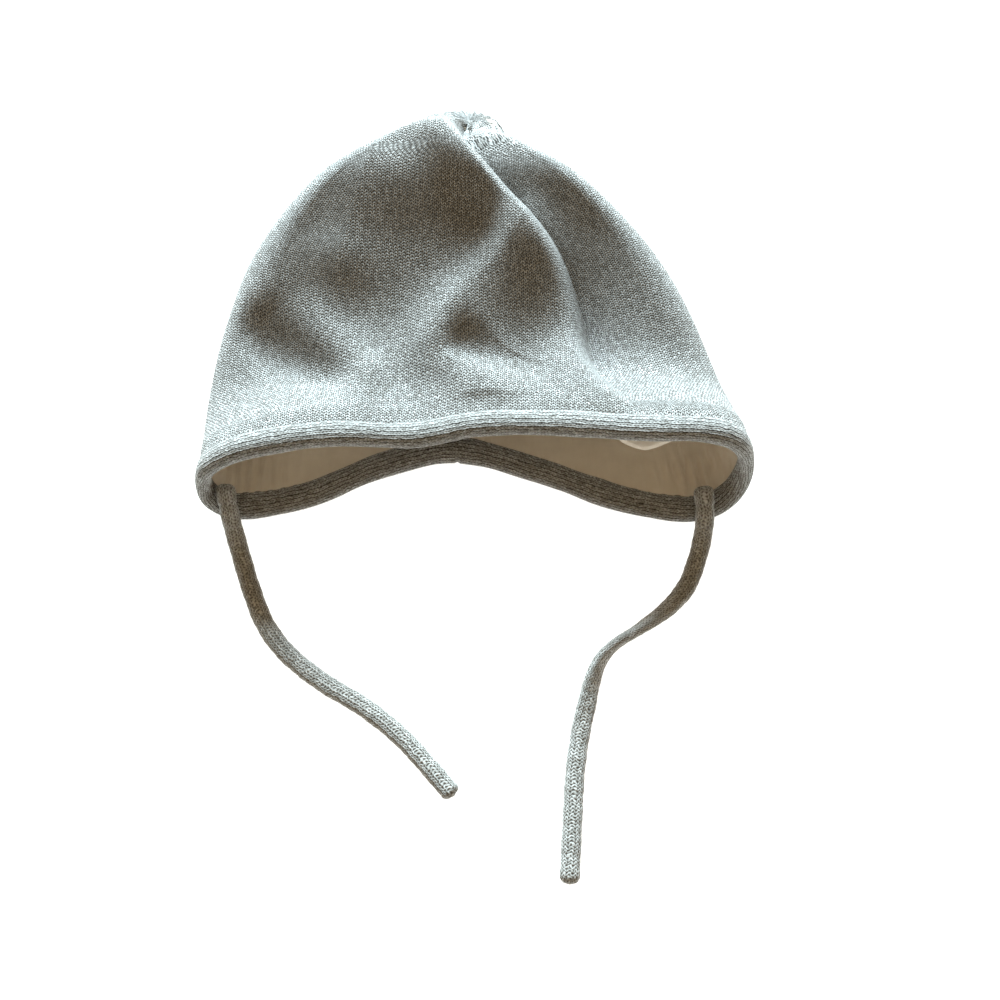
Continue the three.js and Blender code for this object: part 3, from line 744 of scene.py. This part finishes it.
def knit_material(name, light, dark, shade, depth, slant, groove, rib=0.35, dots=1.5):
    """Melange cotton, knitted in stocking stitch: pale and grey fibres spun together, so each leg
    of a stitch has its own grey, with soft fluff that scatters light, and painted shade darkening the hollows
    between."""
    material, tree, shader = new_material(
        name, {"Roughness": 0.92, "Specular IOR Level": 0.25, "Sheen Weight": 0.18, "Sheen Roughness": 0.5}
    )
    stitches = bpy.data.node_groups.get("stocking_stitch") or stitch_group()
    uv = add(tree, "ShaderNodeUVMap", {"uv_map": "UVMap"})
    place = add(tree, "ShaderNodeTexCoord").outputs["Object"]
    noise, solid = "ShaderNodeTexNoise", {"noise_dimensions": "3D"}
    stray = add(tree, noise, solid, {"Vector": place, "Scale": STRAY_SCALE, "Detail": 1.0})
    moved = add(
        tree, "ShaderNodeVectorMath", {"operation": "MULTIPLY_ADD"},
        {0: stray.outputs["Color"], 1: (STRAY, STRAY, 0.0), 2: uv},
    )
    knit = add(
        tree, "ShaderNodeGroup", {"node_tree": stitches},
        {"Stitch": moved, "Slant": slant, "Rib": rib, "Dots": dots},
    )
    fibre = add(tree, noise, solid, {"Vector": place, "Scale": FIBRE_SCALE, "Detail": 2.0, "Roughness": 0.7})
    drift = add(tree, noise, solid, {"Vector": place, "Scale": SHADE_SCALE, "Detail": 2.0, "Roughness": 0.6})
    mix, number, colour = "ShaderNodeMix", {"data_type": "FLOAT"}, {"data_type": "RGBA"}
    spun = add(tree, mix, number, {0: LEG_SHARE, 2: fibre, 3: knit.outputs["Chance"]})
    melange = add(tree, mix, number, {0: SHADE_SHARE, 2: spun, 3: drift})
    grey = add(
        tree, "ShaderNodeMapRange", {},
        {"Value": melange, "From Min": 0.22, "From Max": 0.78, "To Min": 0.0, "To Max": 1.0},
    )
    yarn = add(tree, mix, colour, {0: grey, 6: (*dark, 1), 7: (*light, 1)})
    # Painted shade: where the stitches' relief is low, in the hollows, the yarn's colour is mixed towards the
    # dark shade colour, as far as groove says.
    hollow = add(
        tree, "ShaderNodeMapRange", {},
        {
            "Value": knit.outputs["Relief"], "From Min": 0.15, "From Max": 0.95,
            "To Min": groove, "To Max": 0.0,
        },
    )
    shaded = add(tree, mix, colour, {0: hollow, 6: yarn.outputs[2], 7: (*shade, 1)})
    fluff = add(
        tree, "ShaderNodeMath", {"operation": "MULTIPLY_ADD"}, {0: fibre, 1: FLUFF, 2: knit.outputs["Relief"]}
    )
    bump = add(tree, "ShaderNodeBump", {}, {"Strength": 1.0, "Distance": depth, "Height": fluff})
    tree.links.new(shaded.outputs[2], shader.inputs["Base Color"])
    tree.links.new(bump.outputs[0], shader.inputs["Normal"])
    return material


# The jersey's columns are 0.6 mm apart at this scale, and its clouds are 11 mm across.
JERSEY_SCALE = 520.0
JERSEY_CLOUD_SCALE = 90.0
JERSEY_DEPTH = 0.00008
JERSEY_THIN_SHADE = 0.9


def jersey_material(name, colour):
    """Combed cotton jersey, knitted fine and washed: a matt cream with faint columns and soft
    clouding where the cloth is thinner."""
    material, tree, shader = new_material(
        name, {"Roughness": 0.88, "Specular IOR Level": 0.25, "Sheen Weight": 0.1}
    )
    place = add(tree, "ShaderNodeTexCoord").outputs["Object"]
    columns = add(
        tree, "ShaderNodeTexWave", {"wave_type": "BANDS", "bands_direction": "X", "wave_profile": "SIN"},
        {"Vector": place, "Scale": JERSEY_SCALE, "Distortion": 0.6, "Detail": 1.0},
    )
    cloud = add(
        tree, "ShaderNodeTexNoise", {"noise_dimensions": "3D"},
        {"Vector": place, "Scale": JERSEY_CLOUD_SCALE, "Detail": 3.0, "Roughness": 0.5},
    )
    shade = add(
        tree, "ShaderNodeMapRange", {},
        {"Value": cloud, "From Min": 0.3, "From Max": 0.7, "To Min": 0.0, "To Max": 1.0},
    )
    thin = [c * JERSEY_THIN_SHADE for c in colour]
    cloth = add(tree, "ShaderNodeMix", {"data_type": "RGBA"}, {0: shade, 6: (*thin, 1), 7: (*colour, 1)})
    bump = add(tree, "ShaderNodeBump", {}, {"Strength": 0.5, "Distance": JERSEY_DEPTH, "Height": columns})
    tree.links.new(cloth.outputs[2], shader.inputs["Base Color"])
    tree.links.new(bump.outputs[0], shader.inputs["Normal"])
    return material


# The table's clouding is 170 mm across.
TABLE_CLOUD_SCALE = 6.0
TABLE_CLOUD_SHADE = 0.985


def table_material(colour):
    """Matt melamine table top, pressed smooth: an even pale sheet with the faintest clouding."""
    material, tree, shader = new_material("pale_table_top", {"Roughness": 0.8, "Specular IOR Level": 0.2})
    place = add(tree, "ShaderNodeTexCoord").outputs["Object"]
    cloud = add(tree, "ShaderNodeTexNoise", {}, {"Vector": place, "Scale": TABLE_CLOUD_SCALE, "Detail": 2.0})
    dull = [c * TABLE_CLOUD_SHADE for c in colour]
    even = add(tree, "ShaderNodeMix", {"data_type": "RGBA"}, {0: cloud, 6: (*dull, 1), 7: (*colour, 1)})
    tree.links.new(even.outputs[2], shader.inputs["Base Color"])
    return material


# ---- Swept knit: the binding and the ties ----


def sweep_tree():
    """Sweeps a ribbed, flattened roll along a path of points that carry their own across and out
    directions and their swell, and lays stitch coordinates on it."""
    tree = bpy.data.node_groups.new("swept_knit_roll", "GeometryNodeTree")
    face = tree.interface
    face.new_socket("Path", in_out="INPUT", socket_type="NodeSocketGeometry")
    for name, kind, value in [
        ("Path Points", "NodeSocketInt", 2),
        ("Stations", "NodeSocketInt", 2),
        ("Sides", "NodeSocketInt", 12),
        ("Width", "NodeSocketFloat", 0.01),
        ("Thickness", "NodeSocketFloat", 0.005),
        ("Squareness", "NodeSocketFloat", 0.8),
        ("Ribs", "NodeSocketInt", 8),
        ("Rib Depth", "NodeSocketFloat", 0.0002),
        ("Outer Smoothness", "NodeSocketFloat", 0.0),
        ("Courses", "NodeSocketFloat", 100.0),
    ]:
        face.new_socket(name, in_out="INPUT", socket_type=kind).default_value = value
    face.new_socket("Material", in_out="INPUT", socket_type="NodeSocketMaterial")
    face.new_socket("Roll", in_out="OUTPUT", socket_type="NodeSocketGeometry")
    number, vector = "ShaderNodeMath", "ShaderNodeVectorMath"
    inputs = add(tree, "NodeGroupInput").outputs
    # A flat grid, one unit square: its X is the share of the way along the roll, its Y around it.
    here = add(tree, "GeometryNodeInputPosition")
    shares = add(tree, vector, {"operation": "ADD"}, {0: here, 1: (0.5, 0.5, 0.0)})
    split = add(tree, "ShaderNodeSeparateXYZ", inputs={0: shares})
    known = dict(inputs.items() + split.outputs.items())
    for name, operation, *values in [
        ("rows", "ADD", "Sides", 1.0),
        ("gaps", "SUBTRACT", "Stations", 1.0),
        ("run", "MULTIPLY", "X", "gaps"),
        ("whole", "ROUND", "run"),
        ("index", "FLOORED_MODULO", "whole", "Path Points"),
        ("angle", "MULTIPLY", "Y", 2 * math.pi),
        ("cosine", "COSINE", "angle"),
        ("sine", "SINE", "angle"),
    ]:
        known[name] = add(tree, number, {"operation": operation}, found(known, values))
    grid = add(
        tree, "GeometryNodeMeshGrid", {},
        {"Size X": 1.0, "Size Y": 1.0, "Vertices X": inputs["Stations"], "Vertices Y": known["rows"]},
    )
    # What the path's point at each station carries.
    for name, kind in [
        ("position", None), ("across", "FLOAT_VECTOR"), ("out", "FLOAT_VECTOR"), ("swell", "FLOAT"),
    ]:
        if kind is None:
            source = add(tree, "GeometryNodeInputPosition")
        else:
            source = add(tree, "GeometryNodeInputNamedAttribute", {"data_type": kind}, {"Name": name})
        known[name] = add(
            tree, "GeometryNodeSampleIndex", {"data_type": kind or "FLOAT_VECTOR", "domain": "POINT"},
            {"Geometry": inputs["Path"], "Value": source, "Index": known["index"]},
        )
    for name, operation, *values in [
        # Ribs: rounded ridges with narrow grooves between them.
        ("waves", "MULTIPLY", "angle", "Ribs"),
        ("half waves", "MULTIPLY", "waves", 0.5),
        ("wave", "SINE", "half waves"),
        ("ridge", "ABSOLUTE", "wave"),
        ("rounded", "POWER", "ridge", 0.6),
        ("sunk", "SUBTRACT", "rounded", 1.0),
        # The outer side of the roll is stretched smooth, the inner side shows its ribs.
        ("outer side", "MULTIPLY_ADD", "sine", 0.5, 0.5),
        ("eased", "MULTIPLY", "outer side", "Outer Smoothness"),
        ("kept", "SUBTRACT", 1.0, "eased"),
        ("depth", "MULTIPLY", "kept", "Rib Depth"),
        ("rib", "MULTIPLY", "sunk", "depth"),
    ]:
        known[name] = add(tree, number, {"operation": operation}, found(known, values))
    for way, turn, size in [("across", "cosine", "Width"), ("out", "sine", "Thickness")]:
        for name, operation, *values in [
            ("plain", "ABSOLUTE", turn),
            ("squared", "POWER", "plain", "Squareness"),
            ("sign", "SIGN", turn),
            ("bulge", "MULTIPLY", "squared", "sign"),
            ("half", "MULTIPLY", size, 0.5),
            ("reach", "MULTIPLY", "bulge", "half"),
            ("swelled", "MULTIPLY", "reach", "swell"),
            ("ribbed", "MULTIPLY_ADD", "rib", turn, "swelled"),
        ]:
            known[name] = add(tree, number, {"operation": operation}, found(known, values))
        known[way] = add(tree, vector, {"operation": "SCALE"}, {0: known[way], "Scale": known["ribbed"]})
    offset = add(tree, vector, {"operation": "ADD"}, {0: known["across"], 1: known["out"]})
    place = add(tree, vector, {"operation": "ADD"}, {0: offset, 1: known["position"]})
    moved = add(tree, "GeometryNodeSetPosition", {}, {"Geometry": grid, "Position": place})
    flat = add(tree, "ShaderNodeSeparateXYZ", inputs={0: grid.outputs["UV Map"]}).outputs
    u = add(tree, number, {"operation": "MULTIPLY"}, {0: flat["Y"], 1: inputs["Ribs"]})
    v = add(tree, number, {"operation": "MULTIPLY"}, {0: flat["X"], 1: inputs["Courses"]})
    pair = add(tree, "ShaderNodeCombineXYZ", inputs={0: u, 1: v})
    mapped = add(
        tree, "GeometryNodeStoreNamedAttribute", {"data_type": "FLOAT2", "domain": "CORNER"},
        {"Geometry": moved, "Name": "UVMap", "Value": pair},
    )
    turned = add(tree, "GeometryNodeFlipFaces", {}, {"Mesh": mapped})
    joined = add(tree, "GeometryNodeMergeByDistance", {}, {"Geometry": turned, "Distance": 2e-6})
    soft = add(tree, "GeometryNodeSetShadeSmooth", {}, {"Geometry": joined})
    real = add(tree, "GeometryNodeRealizeInstances", {}, {"Geometry": soft})
    dressed = add(tree, "GeometryNodeSetMaterial", {}, {"Geometry": real, "Material": inputs["Material"]})
    add(tree, "NodeGroupOutput", inputs={0: dressed})
    return tree


def swept(name, points, across, out, swell, values):
    """A roll swept along points that carry these directions and this swell, with these named
    inputs for the tree, kept as a plain mesh."""
    path = bpy.data.meshes.new(name)
    path.from_pydata(points.tolist(), [(i, i + 1) for i in range(len(points) - 1)], [])
    for key, kind, field, numbers in [
        ("across", "FLOAT_VECTOR", "vector", across),
        ("out", "FLOAT_VECTOR", "vector", out),
        ("swell", "FLOAT", "value", swell),
    ]:
        carried = path.attributes.new(key, kind, "POINT")
        carried.data.foreach_set(field, numbers.astype(np.float32).ravel())
    piece = bpy.data.objects.new(name, path)
    bpy.context.scene.collection.objects.link(piece)
    tree = bpy.data.node_groups.get("swept_knit_roll") or sweep_tree()
    modifier = piece.modifiers.new(tree.name, "NODES")
    modifier.node_group = tree
    sockets = {item.name: item.identifier for item in tree.interface.items_tree if item.in_out == "INPUT"}
    for key, value in {"Path Points": len(points), **values}.items():
        modifier[sockets[key]] = value
    bpy.context.view_layer.update()
    graph = bpy.context.evaluated_depsgraph_get()
    mesh = bpy.data.meshes.new_from_object(piece.evaluated_get(graph), depsgraph=graph)
    piece.modifiers.remove(modifier)
    mesh.name = name
    piece.data = mesh
    bpy.data.meshes.remove(path)
    return piece


def tie_line(rows, spacing=0.5):
    """Evenly spaced points of a tie's middle line, with the ways across and out of its flat, and
    how far along it each point is."""
    table = np.array(rows, float)
    places = np.linspace(0, len(table) - 1, TIE_SAMPLES)
    lengths = running_sum(np.linalg.norm(np.diff(spline(table[:, :3], places, False), axis=0), axis=1))
    wanted = np.linspace(0, lengths[-1], int(lengths[-1] / spacing) + 1)
    place = np.interp(wanted, lengths, places)
    points = spline(table[:, :3], place, False)
    tangent = unit(np.gradient(points, axis=0))
    level = unit(np.cross([0, 0, 1], tangent))
    roll = np.radians(np.interp(place, np.arange(len(table)), table[:, 3]))[:, None]
    across = level * np.cos(roll) + np.cross(tangent, level) * np.sin(roll)
    return points, across, np.cross(tangent, across), wanted


# ---- Operators ----

# Metres, but for the lens and its sensor. The camera looks at a point of the table between the
# cap's brow and its ties, and the window light hangs on its way from the origin.
CAMERA_TARGET = np.array([8.6, -71.0, 0.0]) * MM
LENS_MM = 54.25
SENSOR_MM = 36.0
WINDOW_WAY = np.array([-0.1, 0.9, 0.4])
WINDOW_DISTANCE = 1.25
WINDOW_SIZE = (0.6, 0.36)
WINDOW_TINT = (0.78, 0.94, 1.0)
SWEEP_HEIGHT = 1.6
SWEEP_SIZE = (2.0, 2.0)
SWEEP_TINT = (0.94, 0.98, 1.0)
ROOM_TINT = (1.0, 0.75, 0.46, 1)
TABLE_HALF = 2.0
TABLE_DROP = 0.0003


def soft_box(name, power, tint, size, place):
    """A soft box of this width and height at a place. It faces down until it is turned."""
    light = bpy.data.lights.new(name, "AREA")
    light.shape = "RECTANGLE"
    light.size, light.size_y = size
    light.energy = power
    light.color = tint
    box = bpy.data.objects.new(name, light)
    box.location = place
    bpy.context.scene.collection.objects.link(box)
    return box


class CAP_OT_stage(bpy.types.Operator):
    """Lays the pale table, hangs the window light and sets the camera"""

    bl_idname = "cap.stage"
    bl_label = "Table, light and camera"

    def execute(self, context):
        stage = context.scene.cap_stage
        away = np.array([0.0, -math.cos(stage.elevation), math.sin(stage.elevation)])
        camera = bpy.data.objects.new("camera", bpy.data.cameras.new("camera"))
        camera.data.lens = LENS_MM
        camera.data.sensor_width = SENSOR_MM
        camera.data.clip_start = 0.01
        camera.location = CAMERA_TARGET + away * stage.distance
        camera.rotation_euler = (math.pi / 2 - stage.elevation, 0, 0)
        context.scene.collection.objects.link(camera)
        context.scene.camera = camera

        square = TABLE_HALF * np.array([(-1, -1), (1, -1), (1, 1), (-1, 1)])
        corners = np.column_stack([square, np.full(4, -TABLE_DROP)])
        pale = table_material(context.scene.cap_colours.table)
        table = mesh_piece("table", corners, [(0, 1, 2, 3)], pale)

        toward = unit(WINDOW_WAY)
        window = soft_box("window", stage.window_power, WINDOW_TINT, WINDOW_SIZE, toward * WINDOW_DISTANCE)
        window.rotation_euler = (math.acos(toward[2]), 0, math.atan2(toward[0], -toward[1]))
        # A second box that lights only the table, so that the cap's shadow on it stays faint, as on
        # a white sweep.
        sweep = soft_box("sweep", stage.sweep_power, SWEEP_TINT, SWEEP_SIZE, (0, 0, SWEEP_HEIGHT))
        only_table = bpy.data.collections.new("table_only")
        only_table.objects.link(table)
        sweep.light_linking.receiver_collection = only_table
        sweep.light_linking.blocker_collection = only_table

        world = bpy.data.worlds.new("room")
        world.use_nodes = True
        room = world.node_tree.nodes["Background"]
        room.inputs["Color"].default_value = ROOM_TINT
        room.inputs["Strength"].default_value = stage.fill_strength
        context.scene.world = world
        context.scene.view_settings.view_transform = "Standard"
        return {"FINISHED"}


# In millimetres: one course of the ties and the binding, how far a tie's ends take to round off,
# and how far from the sewn end and over what length it is nipped.
ROLL_COURSE = 1.15
TIE_END_ROUND = 2.4
TIE_COLLAR = 7.5
TIE_NIP = 0.5


class CAP_OT_ties(bpy.types.Operator):
    """Knits the two flat ties along their routes"""

    bl_idname = "cap.ties"
    bl_label = "Ties"

    def execute(self, context):
        sizes, colours = context.scene.cap_sizes, context.scene.cap_colours
        # The ties' knit gets painted shade in the hollows between its stitches, as strong as groove.
        knit = knit_material(
            "tie_melange_cotton_stocking_stitch", colours.tie_light, colours.tie_dark, colours.stitch_painted_shade,
            depth=0.0003, slant=0.8, groove=0.7,
        )
        for name, rows in (("tie_left", LEFT_TIE), ("tie_right", RIGHT_TIE)):
            points, across, out, run = tie_line(rows)
            total = run[-1]
            # The ends are rounded, the knit is a little uneven, and the sewn end is held wider.
            swell = np.ones(len(points))
            for distance in (run, total - run):
                share = np.clip(distance / TIE_END_ROUND, 0, 1)
                swell *= np.sqrt(1 - (1 - share) ** 2)
            swell *= 1 + 0.02 * np.sin(run * 0.7) + 0.015 * np.sin(run * 1.9 + 1)
            held = 0.06 * (1 - smooth(TIE_COLLAR - 1, TIE_COLLAR, run))
            swell *= 1 + held - 0.1 * bell(run - TIE_COLLAR, TIE_NIP)
            tie = swept(
                name + "_knit", to_frame(points), across, out, swell,
                {
                    "Stations": len(points), "Sides": 40, "Width": sizes.tie_width,
                    "Thickness": sizes.tie_thickness, "Squareness": 0.8, "Ribs": 12,
                    "Rib Depth": 0.00012, "Courses": total / ROLL_COURSE, "Material": knit,
                },
            )
            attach(tie, "root")
            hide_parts(name)
        return {"FINISHED"}


BINDING_STATIONS = 720
BINDING_SIDES_PER_RIB = 4
# How much narrower the binding is where its ends meet, as a share, and over how many millimetres.
JOIN_DEPTH = 0.12
JOIN_REACH = 0.7


class CAP_OT_binding(bpy.types.Operator):
    """Rolls the ribbed binding round the cap's edge"""

    bl_idname = "cap.binding"
    bl_label = "Rolled binding"

    def execute(self, context):
        sizes, colours = context.scene.cap_sizes, context.scene.cap_colours
        total = EDGE_LENGTHS[-1]
        around = np.arange(BINDING_STATIONS) / BINDING_STATIONS
        run = around * total
        # Evenly spaced stations, whatever the quarters' lengths.
        lengths = np.interp(around, QUARTERS, QUARTER_LENGTHS)
        even = np.interp(run, np.append(lengths, total), np.append(around, 1))
        centre, inward, outward = edge_frame(even)
        # The roll is a little uneven, and narrower at its join.
        swell = 1 + 0.02 * np.sin(run / 9.0) + 0.02 * np.sin(run / 4.1 + 2) + 0.01 * np.sin(run / 2.3 + 1)
        swell -= JOIN_DEPTH * bell(np.minimum(run, total - run), JOIN_REACH)
        # The binding's knit gets painted shade in the grooves between its ribs and stitches, as strong as
        # groove.
        knit = knit_material(
            "binding_melange_cotton_rib", colours.yarn_light, colours.yarn_dark, colours.stitch_painted_shade,
            depth=0.00012, slant=0.6, groove=0.95, rib=0.95, dots=0.8,
        )
        band = swept(
            "edge_band_knit", to_frame(centre), inward, outward, swell,
            {
                "Stations": BINDING_STATIONS + 1, "Sides": sizes.binding_ribs * BINDING_SIDES_PER_RIB,
                "Width": sizes.binding_width, "Thickness": sizes.binding_thickness, "Squareness": 0.94,
                "Ribs": sizes.binding_ribs, "Rib Depth": sizes.rib_depth, "Outer Smoothness": 0.7,
                "Courses": round(total / ROLL_COURSE), "Material": knit,
            },
        )
        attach(band, "root")
        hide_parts("edge_band")
        return {"FINISHED"}


# Columns of the lining's and the shell's grids, from mark to mark of the way around.
LINING_COLUMNS = {"back": 110, "front": 72, "to_crease": 24, "past_crease": 48}
SHELL_COLUMNS = {"back": 66, "front": 162, "to_crease": 54, "past_crease": 108}
# The jersey's slack inside the shell and its thickness, and how far its edge is drawn in.
LINING_EASE = 0.2
JERSEY_WALL = 0.7
LINING_TUCK = 2.3
# How far the shell's edge is drawn in and lifted where it is sewn.
SHELL_TUCK = 2.0
SHELL_LIFT = 0.3


class CAP_OT_lining(bpy.types.Operator):
    """Hangs the jersey lining inside the shell"""

    bl_idname = "cap.lining"
    bl_label = "Lining"

    def execute(self, context):
        up = row_heights((0.004, 0.14, 48), (0.14, HIGHEST_INSIDE, 64))
        tip = base_point(0.0, 1.0)
        walls = []
        for depth in (SHELL_WALL + GAP + LINING_EASE, SHELL_WALL + GAP + LINING_EASE + JERSEY_WALL):
            grid = slack(*cloth_grid(up, LINING_COLUMNS, depth, LINING_TUCK, 0))
            walls += [to_frame(grid), to_frame(tip - TIP_NORMAL * depth)]
        points, faces, _ = closed_wall(*walls)
        jersey = jersey_material("combed_cotton_jersey", context.scene.cap_colours.lining)
        lining = mesh_piece("lining_jersey", points, faces, jersey)
        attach(lining, "root")
        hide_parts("lining")
        return {"FINISHED"}


# The decrease lines where the panels meet: x at MITRE_Y, and how much x grows with y.
MITRE_Y = -28.6
MITRE_LEFT = (-58.8, 0.30)
MITRE_RIGHT = (62.0, -0.42)
# The share of the way up from which the wales are gathered to the tip.
GATHER_FROM = 0.88


def wale_coordinates(points, up, side_left, side_right):
    """Stitch coordinates of the shell's panels, in millimetres across and along their wales: left,
    front, right, back, and back counted from its other end. The wales run beside each outline,
    and straight up between the decrease lines where the panels meet."""
    closed = np.concatenate([points, points[:, :1]], axis=1)
    steps, climbs = np.diff(closed, axis=1), np.diff(closed, axis=0)
    across = running_sum(np.linalg.norm(steps, axis=2), 1)
    along = running_sum(np.linalg.norm(climbs, axis=2), 0)
    sides = []
    for side in (side_left, side_right):
        way = unit(np.gradient(closed[:, side, :2], axis=0))
        lean = np.abs(way[:, 0])[:, None]
        off = across - across[:, side : side + 1]
        rise = along[:, side : side + 1] + np.abs(off) * lean
        sides.append(np.stack([off * np.sqrt(1 - lean**2), rise], -1))
    # The front panel's wales run straight up, and are counted from the line x = 0.
    level = running_sum(np.hypot(steps[..., 0], steps[..., 2]), 1)
    steep = running_sum(np.hypot(climbs[..., 1], climbs[..., 2]), 0)
    span = slice(side_left, side_right)
    origin = [np.interp(0.0, xs, lengths) for xs, lengths in zip(closed[:, span, 0], level[:, span])]
    front = np.stack([level - np.array(origin)[:, None], steep], -1)
    back = np.stack([across, along], -1)
    back_end = np.stack([across - across[:, -1:], along], -1)
    panels = np.stack([sides[0], front, sides[1], back, back_end])
    # In the gathers every wale goes on to the tip, however close it gets to its neighbours.
    last = int(np.searchsorted(up, GATHER_FROM))
    panels[:, last:, :, 0] = panels[:, last : last + 1, :, 0]
    panels[:, last:, :, 1] = panels[:, last : last + 1, :, 1] + along[last:] - along[last : last + 1]
    return panels


def stitch_map(outer, up):
    """For each corner of every face of the shell's outer grid, its place in the knit of the panel
    that the face lies in, in millimetres across and along the wales."""
    columns = outer.shape[1]
    side_left, side_right = SHELL_COLUMNS["back"], columns - SHELL_COLUMNS["back"]
    middle = side_left + SHELL_COLUMNS["front"]
    crease = middle + SHELL_COLUMNS["to_crease"]
    panels = wale_coordinates(outer, up, side_left, side_right)
    column = np.arange(columns)
    row = np.arange(len(up) - 1)[:, None]
    middles = (outer[:-1] + outer[1:]) / 2
    x, y = middles[..., 0], middles[..., 1] - MITRE_Y
    is_left = (x < MITRE_LEFT[0] + MITRE_LEFT[1] * y) & (column < middle)
    past_right = (x > MITRE_RIGHT[0] + MITRE_RIGHT[1] * y) & (column >= side_right)
    is_right = ((column >= crease) & (column < side_right)) | past_right
    choice = np.select([is_left, is_right, column < side_left, column >= side_right], [0, 2, 3, 4], 1)
    corners = [panels[choice, row + down, column + ahead] for down, ahead in ((0, 0), (0, 1), (1, 1), (1, 0))]
    return np.stack([corner.reshape(-1, 2) for corner in corners], 1)


class CAP_OT_shell(bpy.types.Operator):
    """Knits the shell over the crown, with its folds and its gathered tip"""

    bl_idname = "cap.shell"
    bl_label = "Knitted shell"

    def execute(self, context):
        sizes, colours = context.scene.cap_sizes, context.scene.cap_colours
        up = row_heights((0, 0.03, 7), (0.03, 0.86, 128), (0.86, HIGHEST, 40))
        outer = gathered(*cloth_grid(up, SHELL_COLUMNS, 0.0, SHELL_TUCK, SHELL_LIFT))
        inner_up = np.linspace(0, HIGHEST_INSIDE, 20)
        inner = cloth_grid(inner_up, SHELL_COLUMNS, SHELL_WALL, SHELL_TUCK, SHELL_LIFT)[0]
        tip = base_point(0.0, 1.0)
        points, faces, outer_quads = closed_wall(
            to_frame(outer), to_frame(tip), to_frame(inner), to_frame(tip - TIP_NORMAL * SHELL_WALL)
        )
        uv = np.zeros((sum(len(face) for face in faces), 2))
        stitches = stitch_map(outer, up) / (sizes.wale / MM, sizes.course / MM)
        uv[: outer_quads * 4] = stitches.reshape(-1, 2)
        # The shell's knit gets painted shade in the hollows between its stitches, as strong as groove.
        knit = knit_material(
            "shell_melange_cotton_stocking_stitch", colours.yarn_light, colours.yarn_dark, colours.stitch_painted_shade,
            depth=sizes.stitch_depth, slant=0.62, groove=0.88,
        )
        shell = mesh_piece("crown_knit", points, faces, knit, uv)
        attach(shell, "root")
        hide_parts("crown")
        return {"FINISHED"}


class CAP_PT_panel(bpy.types.Panel):
    """Lists the cap's sizes, colours and makers"""

    bl_label = "Knitted pilot cap"
    bl_idname = "CAP_PT_panel"
    bl_space_type = "VIEW_3D"
    bl_region_type = "UI"
    bl_category = "Cap"

    def draw(self, context):
        for group in (context.scene.cap_sizes, context.scene.cap_colours, context.scene.cap_stage):
            box = self.layout.box()
            for key in group.__annotations__:
                box.prop(group, key)
        for operator in OPERATORS:
            self.layout.operator(operator.bl_idname)


OPERATORS = (CAP_OT_stage, CAP_OT_ties, CAP_OT_binding, CAP_OT_lining, CAP_OT_shell)
CLASSES = (CapSizes, CapColours, CapStage, *OPERATORS, CAP_PT_panel)


def register():
    for kind in CLASSES:
        bpy.utils.register_class(kind)
    bpy.types.Scene.cap_sizes = bpy.props.PointerProperty(type=CapSizes)
    bpy.types.Scene.cap_colours = bpy.props.PointerProperty(type=CapColours)
    bpy.types.Scene.cap_stage = bpy.props.PointerProperty(type=CapStage)


def unregister():
    del bpy.types.Scene.cap_stage
    del bpy.types.Scene.cap_colours
    del bpy.types.Scene.cap_sizes
    for kind in reversed(CLASSES):
        bpy.utils.unregister_class(kind)


def main():
    register()
    bpy.ops.cap.stage()
    bpy.ops.cap.ties()
    bpy.ops.cap.binding()
    bpy.ops.cap.lining()
    bpy.ops.cap.shell()


if __name__ == "__main__":
    main()
